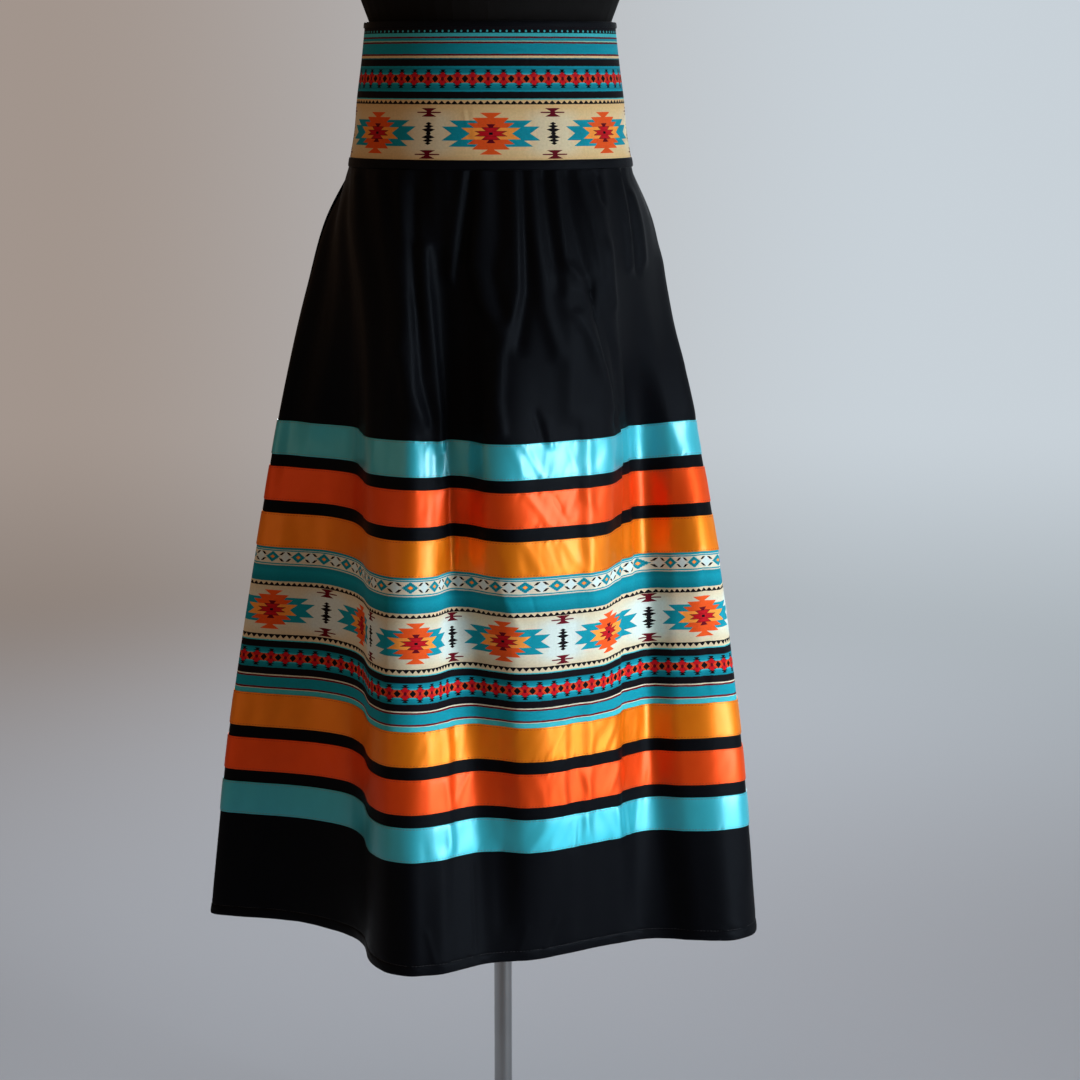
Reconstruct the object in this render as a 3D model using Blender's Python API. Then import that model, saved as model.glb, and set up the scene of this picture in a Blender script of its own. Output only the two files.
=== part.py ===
# Ribbon skirt on a dress form with a round base.
#
# A long gathered skirt of black cotton with a printed tier and six satin
# ribbons, a wide printed waistband with black bindings, and the limbless
# dress form on a pole that it hangs from.
#
# Frame: metres, +Z up, the front of the skirt faces -Y, +X is the viewer's
# right. The origin is the centre of the underside of the base, on the pole's
# axis. Every height on the skirt is given as v, the distance below the top
# edge of the waistband, so z = WAIST_Z - v.
#
# Each tier of the skirt is a front piece and a back piece, joined by side
# seams at its two outer folds. A piece is a closed wall: an outer face
# through horizontal rings, and an inner face moved in by the cloth's
# thickness. Ribbons and bindings are made from the same rings, moved out.

import math

import bmesh
import bpy
import numpy as np

# ---------------------------------------------------------------- sizes (m)
WAIST_Z = 1.3115          # top edge of the waistband above the floor
BAND_HEIGHT = 0.1529      # waistband with both bindings
SKIRT_LENGTH = 1.0115     # waist edge to hem
TOP_BINDING = 0.0050      # black binding showing at the waist edge
LOW_BINDING = 0.0104      # black binding showing at the foot of the band
RIBBON_WIDTH = 0.0381     # inch and a half satin ribbon
RIBBON_TOPS = (0.4364, 0.4879, 0.5400, 0.7420, 0.7939, 0.8460)
PRINT_TOP = 0.5595        # seam above the printed tier, under ribbon 3
PRINT_FOOT = 0.7615       # seam below the printed tier, under ribbon 4

CLOTH_T = 0.0012          # skirt cotton and print
BAND_T = 0.0020           # waistband, two layers
RIBBON_T = 0.0010         # ribbons and bindings
SEAM_GAP = 0.0003         # between pieces that meet edge to edge
LAY_GAP = 0.0005          # under a ribbon or binding
GATHER = 0.0028           # depth of the small gathers below the band

POLE_R = 0.0103
BASE_R = 0.160
BASE_T = 0.012

# Waistband sections: v, half width, depth to the front, depth to the back.
BAND_CENTRE_X = -0.0110
BAND_RINGS = (
    # v      half   front   back
    (0.0000, 0.1355, 0.1100, 0.1080),
    (0.0395, 0.1400, 0.1120, 0.1100),
    (0.0825, 0.1457, 0.1160, 0.1140),
    (0.1150, 0.1486, 0.1185, 0.1165),
    (0.1425, 0.1535, 0.1205, 0.1185),
    (0.1529, 0.1550, 0.1215, 0.1195),
)

# Levels below the waist edge: seam below the band, yoke, hip, ribbon 1,
# ribbon 3, ribbon 5 and hem. The fold tables start at the hip; the yoke is
# part of the way from the seam to the hip, and stands out a little.
LEVELS = (BAND_HEIGHT + SEAM_GAP, 0.2050, 0.2865, 0.4550, 0.5595, 0.7865,
          SKIRT_LENGTH)
YOKE_SHARE = 0.42
YOKE_OUT = 0.0055

# Fold lines of the front, from the left side seam to the right one (mm).
# turn = place on the waist ellipse in degrees from its front middle,
# x and d = place to the right of the pole and in front of it at the hip,
# ribbon 1, ribbon 3, ribbon 5 and the hem; parts = columns to the next line.
FRONT_FOLDS = (
    # name              parts turn  hip_x hip_d  r1_x  r1_d  r3_x  r3_d  r5_x  r5_d hem_x hem_d
    ("left_seam",         1, -103, -215.5, -20, -255.5, -24, -274.5, -22, -310,   6, -339, -10),
    ("left_wing_side",    1,  -97, -199,     5, -237, -15.5, -252,  -6, -280,  20, -303,   4),
    ("left_wing_mid",     1,  -91, -184,    25, -213,   1, -225,   3, -245,  29, -262,  13),
    ("left_wing_inner",   1,  -85, -171,    45, -188,  15, -196,  15, -207,  41, -215,  35),
    ("lobe_foot",         1,  -79, -161,    62, -162,  35, -166,  49, -170,  65, -170,  72),
    ("lobe_wall",         1,  -75, -153,    85, -151,  73, -151,  85, -153,  98, -153.5, 105),
    ("lobe_shoulder",     1,  -70, -143,   105, -140.5, 115, -138.5, 135, -139.5, 158, -142.5, 160),
    ("lobe_left",         1,  -60, -124,   122, -120, 134, -118, 163, -120, 188, -123, 190),
    ("lobe_crest",        1,  -47,  -99,   139,  -95, 149,  -94, 171,  -97, 196,  -98, 203),
    ("lobe_right",        1,  -38,  -87,   139,  -80, 145,  -79, 166,  -80, 192,  -79, 200),
    ("tuck_ridge",        1,  -30,  -77,   139,  -67, 137,  -68, 158,  -67, 184,  -62, 194),
    ("tuck_valley",       2,  -21,  -58,   131,  -53, 133,  -53, 137,  -48, 167,  -40, 181),
    ("middle_left",       2,  -12,  -38,   135,  -34, 141,  -35, 142,  -26, 157,  -15, 164),
    ("middle_ridge",      1,   -2,  -13,   148,  -12, 167,  -10, 165,   -3, 162,   10, 157),
    ("middle",            2,    8,   12,   151,   10, 171,   12, 174,   22, 173,   33, 151),
    ("middle_right",      2,   19,   44,   147,   44, 157,   46, 166,   51, 169,   61, 137),
    ("right_slope",       1,   30,   75,   139,   81, 136,   83, 149,   82, 148,   88, 120),
    ("fold_ridge",        1,   40,  104,   126,  118, 110,  112, 130,  112, 129,  115, 104),
    ("fold_wall",         1,   45,  112,   111,  130,  75,  126.5, 90,  130, 112,  137,  93),
    ("fold_foot",         1,   51,  122,    91,  139,  31,  143,  49,  148,  80,  158,  80),
    ("right_hollow",      1,   61,  140,    63,  158,   3,  163,  20,  167,  65,  187,  77),
    ("right_wing",        2,   74,  158,    37,  188,   4,  192,  31,  200,  77,  225,  90),
    ("right_wing_side",   1,   87,  174,     6,  208,  -9,  220,  29,  240,  74,  262,  86),
)
# The right side seam, where the front ends and the back begins.
RIGHT_SEAM = (
    ("right_seam",        1,   99,  184,   -25,  219, -28,  239,   -4,  267,   52,  289,  52),
)

# Fold lines of the back, from the right seam to the left one. turn is the
# place on the waist ellipse, across runs from +1 at the right side to -1 at
# the left, and fold is how far the line stands out of the plain back (mm).
BACK_FOLDS = (
    # name              parts turn  across  fold
    ("back_right_side",   2,  110,  0.97,    0),
    ("back_right_ridge",  1,  121,  0.86,   14),
    ("back_right_valley", 2,  131,  0.68,  -22),
    ("back_fold_wall",    1,  139,  0.55,    8),
    ("back_fold_crest",   2,  148,  0.43,   17),
    ("back_tuck_valley",  2,  158,  0.26,  -20),
    ("back_mid_ridge",    2,  168,  0.10,   12),
    ("back_middle",       2,  179, -0.06,    4),
    ("back_mid_valley",   2,  190, -0.21,  -19),
    ("back_left_crest",   2,  201, -0.37,   16),
    ("back_left_shoulder", 1, 212, -0.52,    8),
    ("back_left_valley",  2,  222, -0.65,  -20),
    ("back_left_ridge",   2,  234, -0.81,   12),
    ("back_left_side",    2,  246, -0.95,    0),
)
# Depth of the plain back and growth of its folds at each of the levels below
# the waist: hip, ribbon 1, ribbon 3, ribbon 5, hem (mm, share).
BACK_DEPTH = (-148, -165, -170, -174, -182)
BACK_GROWTH = (0.45, 0.72, 0.74, 0.72, 0.78)

# Rows of rings of each tier (v). Edges of ribbons are rows, so that a ribbon
# lies on its panel facet by facet.
RIBBONS = tuple((v, v + RIBBON_WIDTH) for v in RIBBON_TOPS)
UPPER_ROWS = (LEVELS[0], 0.185, 0.235, 0.2865, 0.360) + RIBBONS[0] + RIBBONS[1] \
    + (RIBBONS[2][0], PRINT_TOP - SEAM_GAP)
PRINT_ROWS = (PRINT_TOP, RIBBONS[2][1], RIBBONS[3][0], PRINT_FOOT)
LOWER_ROWS = (PRINT_FOOT + SEAM_GAP, RIBBONS[3][1]) + RIBBONS[4] + RIBBONS[5] \
    + (SKIRT_LENGTH,)

# Form sections from the underside of the hips to the top of the neck:
# z above the waist edge, half width, depth to the front, depth to the back.
FORM_RINGS = (
    (-0.345, 0.110, 0.080, 0.080),
    (-0.343, 0.128, 0.094, 0.096),
    (-0.325, 0.147, 0.104, 0.110),
    (-0.280, 0.160, 0.110, 0.120),
    (-0.220, 0.160, 0.112, 0.119),
    (-0.1529, 0.1480, 0.1145, 0.1125),
    (-0.115, 0.1430, 0.1130, 0.1110),
    (-0.0825, 0.1400, 0.1105, 0.1085),
    (-0.0395, 0.1343, 0.1065, 0.1045),
    (0.000, 0.1308, 0.1055, 0.1035),
    (0.030, 0.1420, 0.1080, 0.1050),
    (0.080, 0.1560, 0.1170, 0.1080),
    (0.135, 0.1650, 0.1280, 0.1110),
    (0.185, 0.1690, 0.1280, 0.1140),
    (0.240, 0.1710, 0.1130, 0.1150),
    (0.290, 0.1760, 0.0950, 0.1080),
    (0.325, 0.1700, 0.0800, 0.0950),
    (0.352, 0.1420, 0.0680, 0.0810),
    (0.370, 0.1020, 0.0600, 0.0690),
    (0.386, 0.0700, 0.0540, 0.0590),
    (0.420, 0.0580, 0.0520, 0.0530),
    (0.455, 0.0560, 0.0510, 0.0510),
    (0.463, 0.0520, 0.0470, 0.0470),
    (0.466, 0.0420, 0.0380, 0.0380),
)
FORM_SIDES = 44
FORM_POLE_GAP = 0.0003

COLOURS = {
    # material: colour, roughness, metallic
    "black_cotton": ((0.012, 0.013, 0.017), 0.78, 0.0),
    "printed_cotton": ((0.55, 0.52, 0.42), 0.80, 0.0),
    "turquoise_satin": ((0.05, 0.45, 0.52), 0.28, 0.0),
    "orange_satin": ((0.78, 0.14, 0.03), 0.28, 0.0),
    "yellow_satin": ((0.85, 0.36, 0.03), 0.28, 0.0),
    "form_cloth": ((0.015, 0.015, 0.017), 0.85, 0.0),
    "chrome": ((0.62, 0.62, 0.63), 0.22, 1.0),
    "base_steel": ((0.55, 0.55, 0.56), 0.30, 1.0),
}
RIBBON_MATERIALS = ("turquoise_satin", "orange_satin", "yellow_satin",
                    "yellow_satin", "orange_satin", "turquoise_satin")


# ------------------------------------------------------------- the surface
def fold_lines():
    """Names, column counts, waist angles and places of all fold lines."""
    rows = [list(r) for r in FRONT_FOLDS + RIGHT_SEAM]
    left = FRONT_FOLDS[0]
    right = RIGHT_SEAM[0]
    for name, parts, turn, across, fold in BACK_FOLDS:
        row = [name, parts, turn]
        for k in range(5):
            rx, rd = right[3 + 2 * k], right[4 + 2 * k]
            lx, ld = left[3 + 2 * k], left[4 + 2 * k]
            mid, half = 0.5 * (rx + lx), 0.5 * (rx - lx)
            side = rd if across > 0 else ld
            round_off = (1.0 - abs(across) ** 2.5) ** 0.5
            depth = side + (BACK_DEPTH[k] - side) * round_off
            push = fold * BACK_GROWTH[k]
            lean = across * abs(across)
            row += [mid + half * across + push * lean,
                    depth - push * math.sqrt(max(0.0, 1.0 - lean * lean))]
        rows.append(row)
    return rows


LINES = fold_lines()
TURNS = np.array([math.radians(r[2]) for r in LINES])
PARTS = [r[1] for r in LINES]
FRONT_COLUMNS = sum(r[1] for r in FRONT_FOLDS)


def ellipse(turn, half, front, back):
    """Points of a waist-like oval; turn 0 is its front middle."""
    depth = np.where(np.cos(turn) > 0, front, back)
    return np.stack([BAND_CENTRE_X + half * np.sin(turn), depth * np.cos(turn)], 1)


def moved_out(ring, distance):
    """The ring moved out along the bisectors of its corners."""
    edge = np.roll(ring, -1, 0) - ring
    edge /= np.linalg.norm(edge, axis=1)[:, None]
    outward = np.stack([-edge[:, 1], edge[:, 0]], 1)
    mean = outward + np.roll(outward, 1, 0)
    size = np.linalg.norm(mean, axis=1)
    mean /= size[:, None]
    stretch = np.minimum(1.0 / np.maximum(size * 0.5, 1e-6), 1.4)
    return ring + mean * (distance * stretch)[:, None]


def level_knots():
    """Fold line places at every level, in metres: [level][line] = (x, d)."""
    v, half, front, back = BAND_RINGS[-1]
    out = [ellipse(TURNS, half, front, back)]
    for k in range(5):
        out.append(np.array([[r[3 + 2 * k], r[4 + 2 * k]] for r in LINES]) * 0.001)
    yoke = out[0] + (out[1] - out[0]) * YOKE_SHARE
    out.insert(1, moved_out(yoke, YOKE_OUT))
    return np.array(out)


KNOTS = level_knots()


def along(levels, values, v):
    """Smooth curve through values at uneven levels (cubic, end slopes free)."""
    n = len(levels)
    i = 0
    while i < n - 2 and v > levels[i + 1]:
        i += 1

    def slope(j):
        if j == 0:
            return (values[1] - values[0]) / (levels[1] - levels[0])
        if j == n - 1:
            return (values[-1] - values[-2]) / (levels[-1] - levels[-2])
        a, b = levels[j] - levels[j - 1], levels[j + 1] - levels[j]
        da, db = (values[j] - values[j - 1]) / a, (values[j + 1] - values[j]) / b
        return (da * b + db * a) / (a + b)

    h = levels[i + 1] - levels[i]
    t = (v - levels[i]) / h
    t2, t3 = t * t, t * t * t
    return (values[i] * (2 * t3 - 3 * t2 + 1) + slope(i) * h * (t3 - 2 * t2 + t)
            + values[i + 1] * (3 * t2 - 2 * t3) + slope(i + 1) * h * (t3 - t2))


def closed_curve(points, parts):
    """Closed smooth curve through points, with parts[i] columns from point i."""
    before, after = np.roll(points, 1, 0), np.roll(points, -1, 0)
    c_before = np.linalg.norm(points - before, axis=1) ** 0.5
    c_after = np.linalg.norm(after - points, axis=1) ** 0.5
    tangent = ((points - before) / c_before[:, None] * c_after[:, None]
               + (after - points) / c_after[:, None] * c_before[:, None]) \
        / (c_before + c_after)[:, None]
    out = []
    for i in range(len(points)):
        j = (i + 1) % len(points)
        for step in range(parts[i]):
            t = step / parts[i]
            t2, t3 = t * t, t * t * t
            out.append(points[i] * (2 * t3 - 3 * t2 + 1)
                       + tangent[i] * c_after[i] * (t3 - 2 * t2 + t)
                       + points[j] * (3 * t2 - 2 * t3)
                       + tangent[j] * c_after[i] * (t3 - t2))
    return np.array(out)


def skirt_ring(v):
    """Outer face of the skirt cloth at v below the waist edge, (x, d)."""
    ring = closed_curve(along(LEVELS, KNOTS, v), PARTS)
    s = (v - LEVELS[0]) / 0.15
    if 0.0 <= s < 1.0:
        depth = GATHER * (0.35 + 2.6 * s) * (1.0 - s) ** 2
        wave = np.where(np.arange(len(ring)) % 2 == 0, 1.0, -1.0)
        side = moved_out(ring, 1.0) - ring
        ring = ring + side * (wave * depth)[:, None]
    return ring


def band_ring(v):
    """Outer face of the waistband at v below the waist edge, (x, d)."""
    levels = [r[0] for r in BAND_RINGS]
    half, front, back = along(levels, np.array([r[1:] for r in BAND_RINGS]), v)
    return closed_curve(ellipse(TURNS, half, front, back), PARTS)


def to_space(ring, v):
    """Ring points as x, y, z, with the front towards -Y."""
    return np.column_stack([ring[:, 0], -ring[:, 1], np.full(len(ring), WAIST_Z - v)])


def arc(grid, front):
    """Columns of the front or the back, ends drawn in by half a seam gap."""
    n = grid.shape[1]
    cols = list(range(FRONT_COLUMNS + 1)) if front \
        else list(range(FRONT_COLUMNS, n)) + [0]
    piece = grid[:, cols].copy()
    for end, inner in ((0, 1), (-1, -2)):
        step = piece[:, inner] - piece[:, end]
        step /= np.linalg.norm(step, axis=1)[:, None]
        piece[:, end] += step * (SEAM_GAP * 0.6)
    return piece


# --------------------------------------------------------------- the solids
def material(name):
    mat = bpy.data.materials.get(name)
    if mat is None:
        colour, rough, metal = COLOURS[name]
        mat = bpy.data.materials.new(name)
        mat.use_nodes = True
        shader = mat.node_tree.nodes["Principled BSDF"]
        shader.inputs["Base Color"].default_value = (*colour, 1.0)
        shader.inputs["Roughness"].default_value = rough
        shader.inputs["Metallic"].default_value = metal
        mat.diffuse_color = (*colour, 1.0)
    return mat


def new_object(name, bm, mat, origin=(0.0, 0.0, 0.0)):
    mesh = bpy.data.meshes.new(name)
    bm.to_mesh(mesh)
    bm.free()
    mesh.materials.append(material(mat))
    obj = bpy.data.objects.new(name, mesh)
    obj.location = origin
    bpy.context.scene.collection.objects.link(obj)
    return obj


def wall(name, outer, inner, mat):
    """A wall between an outer and an inner grid of points [row][column]."""
    rows, cols = outer.shape[:2]
    bm = bmesh.new()
    a = [[bm.verts.new(outer[r, c]) for c in range(cols)] for r in range(rows)]
    b = [[bm.verts.new(inner[r, c]) for c in range(cols)] for r in range(rows)]
    for r in range(rows - 1):
        for c in range(cols - 1):
            bm.faces.new((a[r][c], a[r + 1][c], a[r + 1][c + 1]))
            bm.faces.new((a[r][c], a[r + 1][c + 1], a[r][c + 1]))
            bm.faces.new((b[r][c], b[r + 1][c + 1], b[r + 1][c]))
            bm.faces.new((b[r][c], b[r][c + 1], b[r + 1][c + 1]))
    for r, flip in ((0, False), (rows - 1, True)):
        for c in range(cols - 1):
            quad = (a[r][c], a[r][c + 1], b[r][c + 1], b[r][c])
            bm.faces.new(quad[::-1] if flip else quad)
    for c, flip in ((0, True), (cols - 1, False)):
        for r in range(rows - 1):
            quad = (a[r][c], a[r + 1][c], b[r + 1][c], b[r][c])
            bm.faces.new(quad if not flip else quad[::-1])
    bmesh.ops.recalc_face_normals(bm, faces=bm.faces)
    return new_object(name, bm, mat)


def grids(ring_of, rows, offset, thickness):
    """Outer and inner grids of a layer offset from its ring function."""
    outer, inner = [], []
    for v in rows:
        ring = ring_of(v)
        outer.append(to_space(moved_out(ring, offset), v))
        inner.append(to_space(moved_out(ring, offset - thickness), v))
    return np.array(outer), np.array(inner)


def pair(stem, ring_of, rows, offset, thickness, mat):
    """Front and back pieces of one layer."""
    outer, inner = grids(ring_of, rows, offset, thickness)
    for side, front in (("front", True), ("back", False)):
        wall(stem + "_" + side, arc(outer, front), arc(inner, front), mat)


def top_binding():
    """Binding folded over the waist edge: outside, over the top, inside."""
    lift = LAY_GAP + RIBBON_T
    ring_low, ring_top = band_ring(TOP_BINDING), band_ring(0.0)
    inside = -BAND_T - LAY_GAP
    section = (
        # offset of the ring, its v, shift of z
        (ring_low, LAY_GAP, TOP_BINDING),
        (ring_low, lift, TOP_BINDING),
        (ring_top, lift, -lift),
        (ring_top, inside - RIBBON_T, -lift),
        (ring_low, inside - RIBBON_T, TOP_BINDING),
        (ring_low, inside, TOP_BINDING),
        (ring_top, inside, -LAY_GAP),
        (ring_top, LAY_GAP, -LAY_GAP),
    )
    loops = np.array([to_space(moved_out(r, o), v) for r, o, v in section])
    for side, front in (("front", True), ("back", False)):
        part = arc(loops, front)
        bm = bmesh.new()
        verts = [[bm.verts.new(p) for p in loop] for loop in part]
        count, length = len(part), len(part[0])
        for i in range(count):
            j = (i + 1) % count
            for c in range(length - 1):
                bm.faces.new((verts[i][c], verts[j][c], verts[j][c + 1]))
                bm.faces.new((verts[i][c], verts[j][c + 1], verts[i][c + 1]))
        for c in (0, length - 1):
            ring = [verts[i][c] for i in range(count)]
            for quad in ((0, 1, 2, 7), (7, 2, 3, 6), (6, 3, 4, 5)):
                bm.faces.new([ring[q] for q in quad])
        bmesh.ops.recalc_face_normals(bm, faces=bm.faces)
        new_object("waist_binding_top_" + side, bm, "black_cotton")


def lathe(name, profile, sides, mat, origin):
    """Closed turned solid from (radius, z) points; ends on the axis."""
    bm = bmesh.new()
    rings = []
    for radius, z in profile:
        if radius < 1e-9:
            rings.append([bm.verts.new((0.0, 0.0, z))])
        else:
            rings.append([bm.verts.new((radius * math.cos(2 * math.pi * k / sides),
                                        radius * math.sin(2 * math.pi * k / sides), z))
                          for k in range(sides)])
    for low, high in zip(rings, rings[1:]):
        for k in range(sides):
            m = (k + 1) % sides
            if len(low) == 1:
                bm.faces.new((low[0], high[m], high[k]))
            elif len(high) == 1:
                bm.faces.new((low[k], low[m], high[0]))
            else:
                bm.faces.new((low[k], low[m], high[m], high[k]))
    bmesh.ops.recalc_face_normals(bm, faces=bm.faces)
    obj = new_object(name, bm, mat, origin)
    obj.data.shade_smooth()
    obj.data.set_sharp_from_angle(angle=math.radians(35))
    return obj


def form_torso():
    """Limbless torso: ovals from the hips up to the closed neck."""
    bm = bmesh.new()
    turns = np.linspace(0, 2 * math.pi, FORM_SIDES, endpoint=False)
    rings = []
    for z, half, front, back in FORM_RINGS:
        depth = np.where(np.cos(turns) > 0, front, back)
        square = 1.0 - 0.04 * np.sin(2 * turns) ** 2
        x = BAND_CENTRE_X + half * np.sin(turns) * square
        y = -depth * np.cos(turns) * square
        rings.append([bm.verts.new((x[k], y[k], z)) for k in range(FORM_SIDES)])
    for low, high in zip(rings, rings[1:]):
        for k in range(FORM_SIDES):
            m = (k + 1) % FORM_SIDES
            bm.faces.new((low[k], low[m], high[m], high[k]))
    bm.faces.new(rings[0][::-1])
    bm.faces.new(rings[-1])
    bmesh.ops.triangulate(bm, faces=[f for f in bm.faces if len(f.verts) > 4])
    bmesh.ops.recalc_face_normals(bm, faces=bm.faces)
    obj = new_object("form_torso", bm, "form_cloth", (0.0, 0.0, WAIST_Z))
    obj.data.shade_smooth()
    obj.data.set_sharp_from_angle(angle=math.radians(50))
    return obj


def build():
    for obj in list(bpy.data.objects):
        bpy.data.objects.remove(obj, do_unlink=True)

    pair("upper_panel", skirt_ring, UPPER_ROWS, 0.0, CLOTH_T, "black_cotton")
    pair("print_panel", skirt_ring, PRINT_ROWS, 0.0, CLOTH_T, "printed_cotton")
    pair("lower_panel", skirt_ring, LOWER_ROWS, 0.0, CLOTH_T, "black_cotton")
    for i, edges in enumerate(RIBBONS):
        rows = edges
        if edges[0] < PRINT_TOP < edges[1]:
            rows = (edges[0], PRINT_TOP, edges[1])
        if edges[0] < PRINT_FOOT < edges[1]:
            rows = (edges[0], PRINT_FOOT, edges[1])
        pair("ribbon_%d" % (i + 1), skirt_ring, rows, LAY_GAP + RIBBON_T, RIBBON_T,
             RIBBON_MATERIALS[i])

    band_rows = (0.0, 0.0395, 0.0825, BAND_HEIGHT - LOW_BINDING, BAND_HEIGHT)
    pair("waistband", band_ring, band_rows, 0.0, BAND_T, "printed_cotton")
    pair("waist_binding_low", band_ring, (BAND_HEIGHT - LOW_BINDING, BAND_HEIGHT),
         LAY_GAP + RIBBON_T, RIBBON_T, "black_cotton")
    top_binding()

    form_torso()
    pole_top = WAIST_Z + FORM_RINGS[0][0] - FORM_POLE_GAP
    foot = BASE_T + 0.045
    lathe("stand_pole", ((0.0, 0.0), (POLE_R, 0.0), (POLE_R, pole_top - foot),
                         (0.0, pole_top - foot)), 32, "chrome", (0.0, 0.0, foot))
    lathe("stand_base", ((0.0, 0.0), (BASE_R - 0.002, 0.0), (BASE_R, 0.002),
                         (BASE_R, BASE_T - 0.003), (BASE_R - 0.003, BASE_T),
                         (0.030, BASE_T), (0.020, BASE_T + 0.006),
                         (0.018, foot - 0.0013), (0.017, foot - 0.0003),
                         (0.0, foot - 0.0003)), 56, "base_steel", (0.0, 0.0, 0.0))


if __name__ == "__main__":
    build()
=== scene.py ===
import math

import bmesh
import bpy
import numpy as np
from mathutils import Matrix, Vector


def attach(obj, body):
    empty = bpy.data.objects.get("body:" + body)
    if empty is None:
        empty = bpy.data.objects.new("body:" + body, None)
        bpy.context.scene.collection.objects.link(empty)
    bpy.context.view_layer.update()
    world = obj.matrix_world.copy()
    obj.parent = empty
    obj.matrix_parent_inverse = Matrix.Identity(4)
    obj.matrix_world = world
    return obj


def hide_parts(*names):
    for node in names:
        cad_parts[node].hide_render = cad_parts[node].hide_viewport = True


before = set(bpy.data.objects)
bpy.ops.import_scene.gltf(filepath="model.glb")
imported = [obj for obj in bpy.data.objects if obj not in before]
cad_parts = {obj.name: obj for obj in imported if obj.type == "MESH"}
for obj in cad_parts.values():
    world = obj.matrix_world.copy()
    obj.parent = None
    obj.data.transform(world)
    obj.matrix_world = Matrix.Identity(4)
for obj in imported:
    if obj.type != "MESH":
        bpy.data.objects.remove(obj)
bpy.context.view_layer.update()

# ------------------------------------------------------------ sizes (m)
WAIST_Z = 1.3115
BAND_HEIGHT = 0.1529
SKIRT_LENGTH = 1.0115
TOP_BINDING = 0.0050
LOW_BINDING = 0.0104
RIBBON_WIDTH = 0.0381
RIBBON_TOPS = (0.4364, 0.4879, 0.5400, 0.7420, 0.7939, 0.8460)
RIBBONS = tuple((v, v + RIBBON_WIDTH) for v in RIBBON_TOPS)
PRINT_TOP = 0.5595
PRINT_FOOT = 0.7615
SEAM_GAP = 0.0003
CLOTH_T = 0.0012
BAND_T = 0.0020
HEM_DEPTH = 0.0118

BAND_CENTRE_X = -0.0110
BAND_RINGS = (
    # v      half   front   back
    (0.0000, 0.1355, 0.1100, 0.1080),
    (0.0395, 0.1400, 0.1120, 0.1100),
    (0.0825, 0.1457, 0.1160, 0.1140),
    (0.1150, 0.1486, 0.1185, 0.1165),
    (0.1425, 0.1535, 0.1205, 0.1185),
    (0.1529, 0.1550, 0.1215, 0.1195),
)
LEVELS = (BAND_HEIGHT + SEAM_GAP, 0.2050, 0.2865, 0.4550, 0.5595, 0.7865,
          SKIRT_LENGTH)
YOKE_SHARE = 0.42
YOKE_OUT = 0.0055

# The fold lines, as in the solids (mm).
FRONT_FOLDS = (
    # name              parts turn  hip_x hip_d  r1_x  r1_d  r3_x  r3_d  r5_x  r5_d hem_x hem_d
    ("left_seam",         1, -103, -215.5, -20, -255.5, -24, -274.5, -22, -310,   6, -339, -10),
    ("left_wing_side",    1,  -97, -199,     5, -237, -15.5, -252,  -6, -280,  20, -303,   4),
    ("left_wing_mid",     1,  -91, -184,    25, -213,   1, -225,   3, -245,  29, -262,  13),
    ("left_wing_inner",   1,  -85, -171,    45, -188,  15, -196,  15, -207,  41, -215,  35),
    ("lobe_foot",         1,  -79, -161,    62, -162,  35, -166,  49, -170,  65, -170,  72),
    ("lobe_wall",         1,  -75, -153,    85, -151,  73, -151,  85, -153,  98, -153.5, 105),
    ("lobe_shoulder",     1,  -70, -143,   105, -140.5, 115, -138.5, 135, -139.5, 158, -142.5, 160),
    ("lobe_left",         1,  -60, -124,   122, -120, 134, -118, 163, -120, 188, -123, 190),
    ("lobe_crest",        1,  -47,  -99,   139,  -95, 149,  -94, 171,  -97, 196,  -98, 203),
    ("lobe_right",        1,  -38,  -87,   139,  -80, 145,  -79, 166,  -80, 192,  -79, 200),
    ("tuck_ridge",        1,  -30,  -77,   139,  -67, 137,  -68, 158,  -67, 184,  -62, 194),
    ("tuck_valley",       2,  -21,  -58,   131,  -53, 133,  -53, 137,  -48, 167,  -40, 181),
    ("middle_left",       2,  -12,  -38,   135,  -34, 141,  -35, 142,  -26, 157,  -15, 164),
    ("middle_ridge",      1,   -2,  -13,   148,  -12, 167,  -10, 165,   -3, 162,   10, 157),
    ("middle",            2,    8,   12,   151,   10, 171,   12, 174,   22, 173,   33, 151),
    ("middle_right",      2,   19,   44,   147,   44, 157,   46, 166,   51, 169,   61, 137),
    ("right_slope",       1,   30,   75,   139,   81, 136,   83, 149,   82, 148,   88, 120),
    ("fold_ridge",        1,   40,  104,   126,  118, 110,  112, 130,  112, 129,  115, 104),
    ("fold_wall",         1,   45,  112,   111,  130,  75,  126.5, 90,  130, 112,  137,  93),
    ("fold_foot",         1,   51,  122,    91,  139,  31,  143,  49,  148,  80,  158,  80),
    ("right_hollow",      1,   61,  140,    63,  158,   3,  163,  20,  167,  65,  187,  77),
    ("right_wing",        2,   74,  158,    37,  188,   4,  192,  31,  200,  77,  225,  90),
    ("right_wing_side",   1,   87,  174,     6,  208,  -9,  220,  29,  240,  74,  262,  86),
)
RIGHT_SEAM = (
    ("right_seam",        1,   99,  184,   -25,  219, -28,  239,   -4,  267,   52,  289,  52),
)
BACK_FOLDS = (
    # name              parts turn  across  fold
    ("back_right_side",   2,  110,  0.97,    0),
    ("back_right_ridge",  1,  121,  0.86,   14),
    ("back_right_valley", 2,  131,  0.68,  -22),
    ("back_fold_wall",    1,  139,  0.55,    8),
    ("back_fold_crest",   2,  148,  0.43,   17),
    ("back_tuck_valley",  2,  158,  0.26,  -20),
    ("back_mid_ridge",    2,  168,  0.10,   12),
    ("back_middle",       2,  179, -0.06,    4),
    ("back_mid_valley",   2,  190, -0.21,  -19),
    ("back_left_crest",   2,  201, -0.37,   16),
    ("back_left_shoulder", 1, 212, -0.52,    8),
    ("back_left_valley",  2,  222, -0.65,  -20),
    ("back_left_ridge",   2,  234, -0.81,   12),
    ("back_left_side",    2,  246, -0.95,    0),
)
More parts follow.
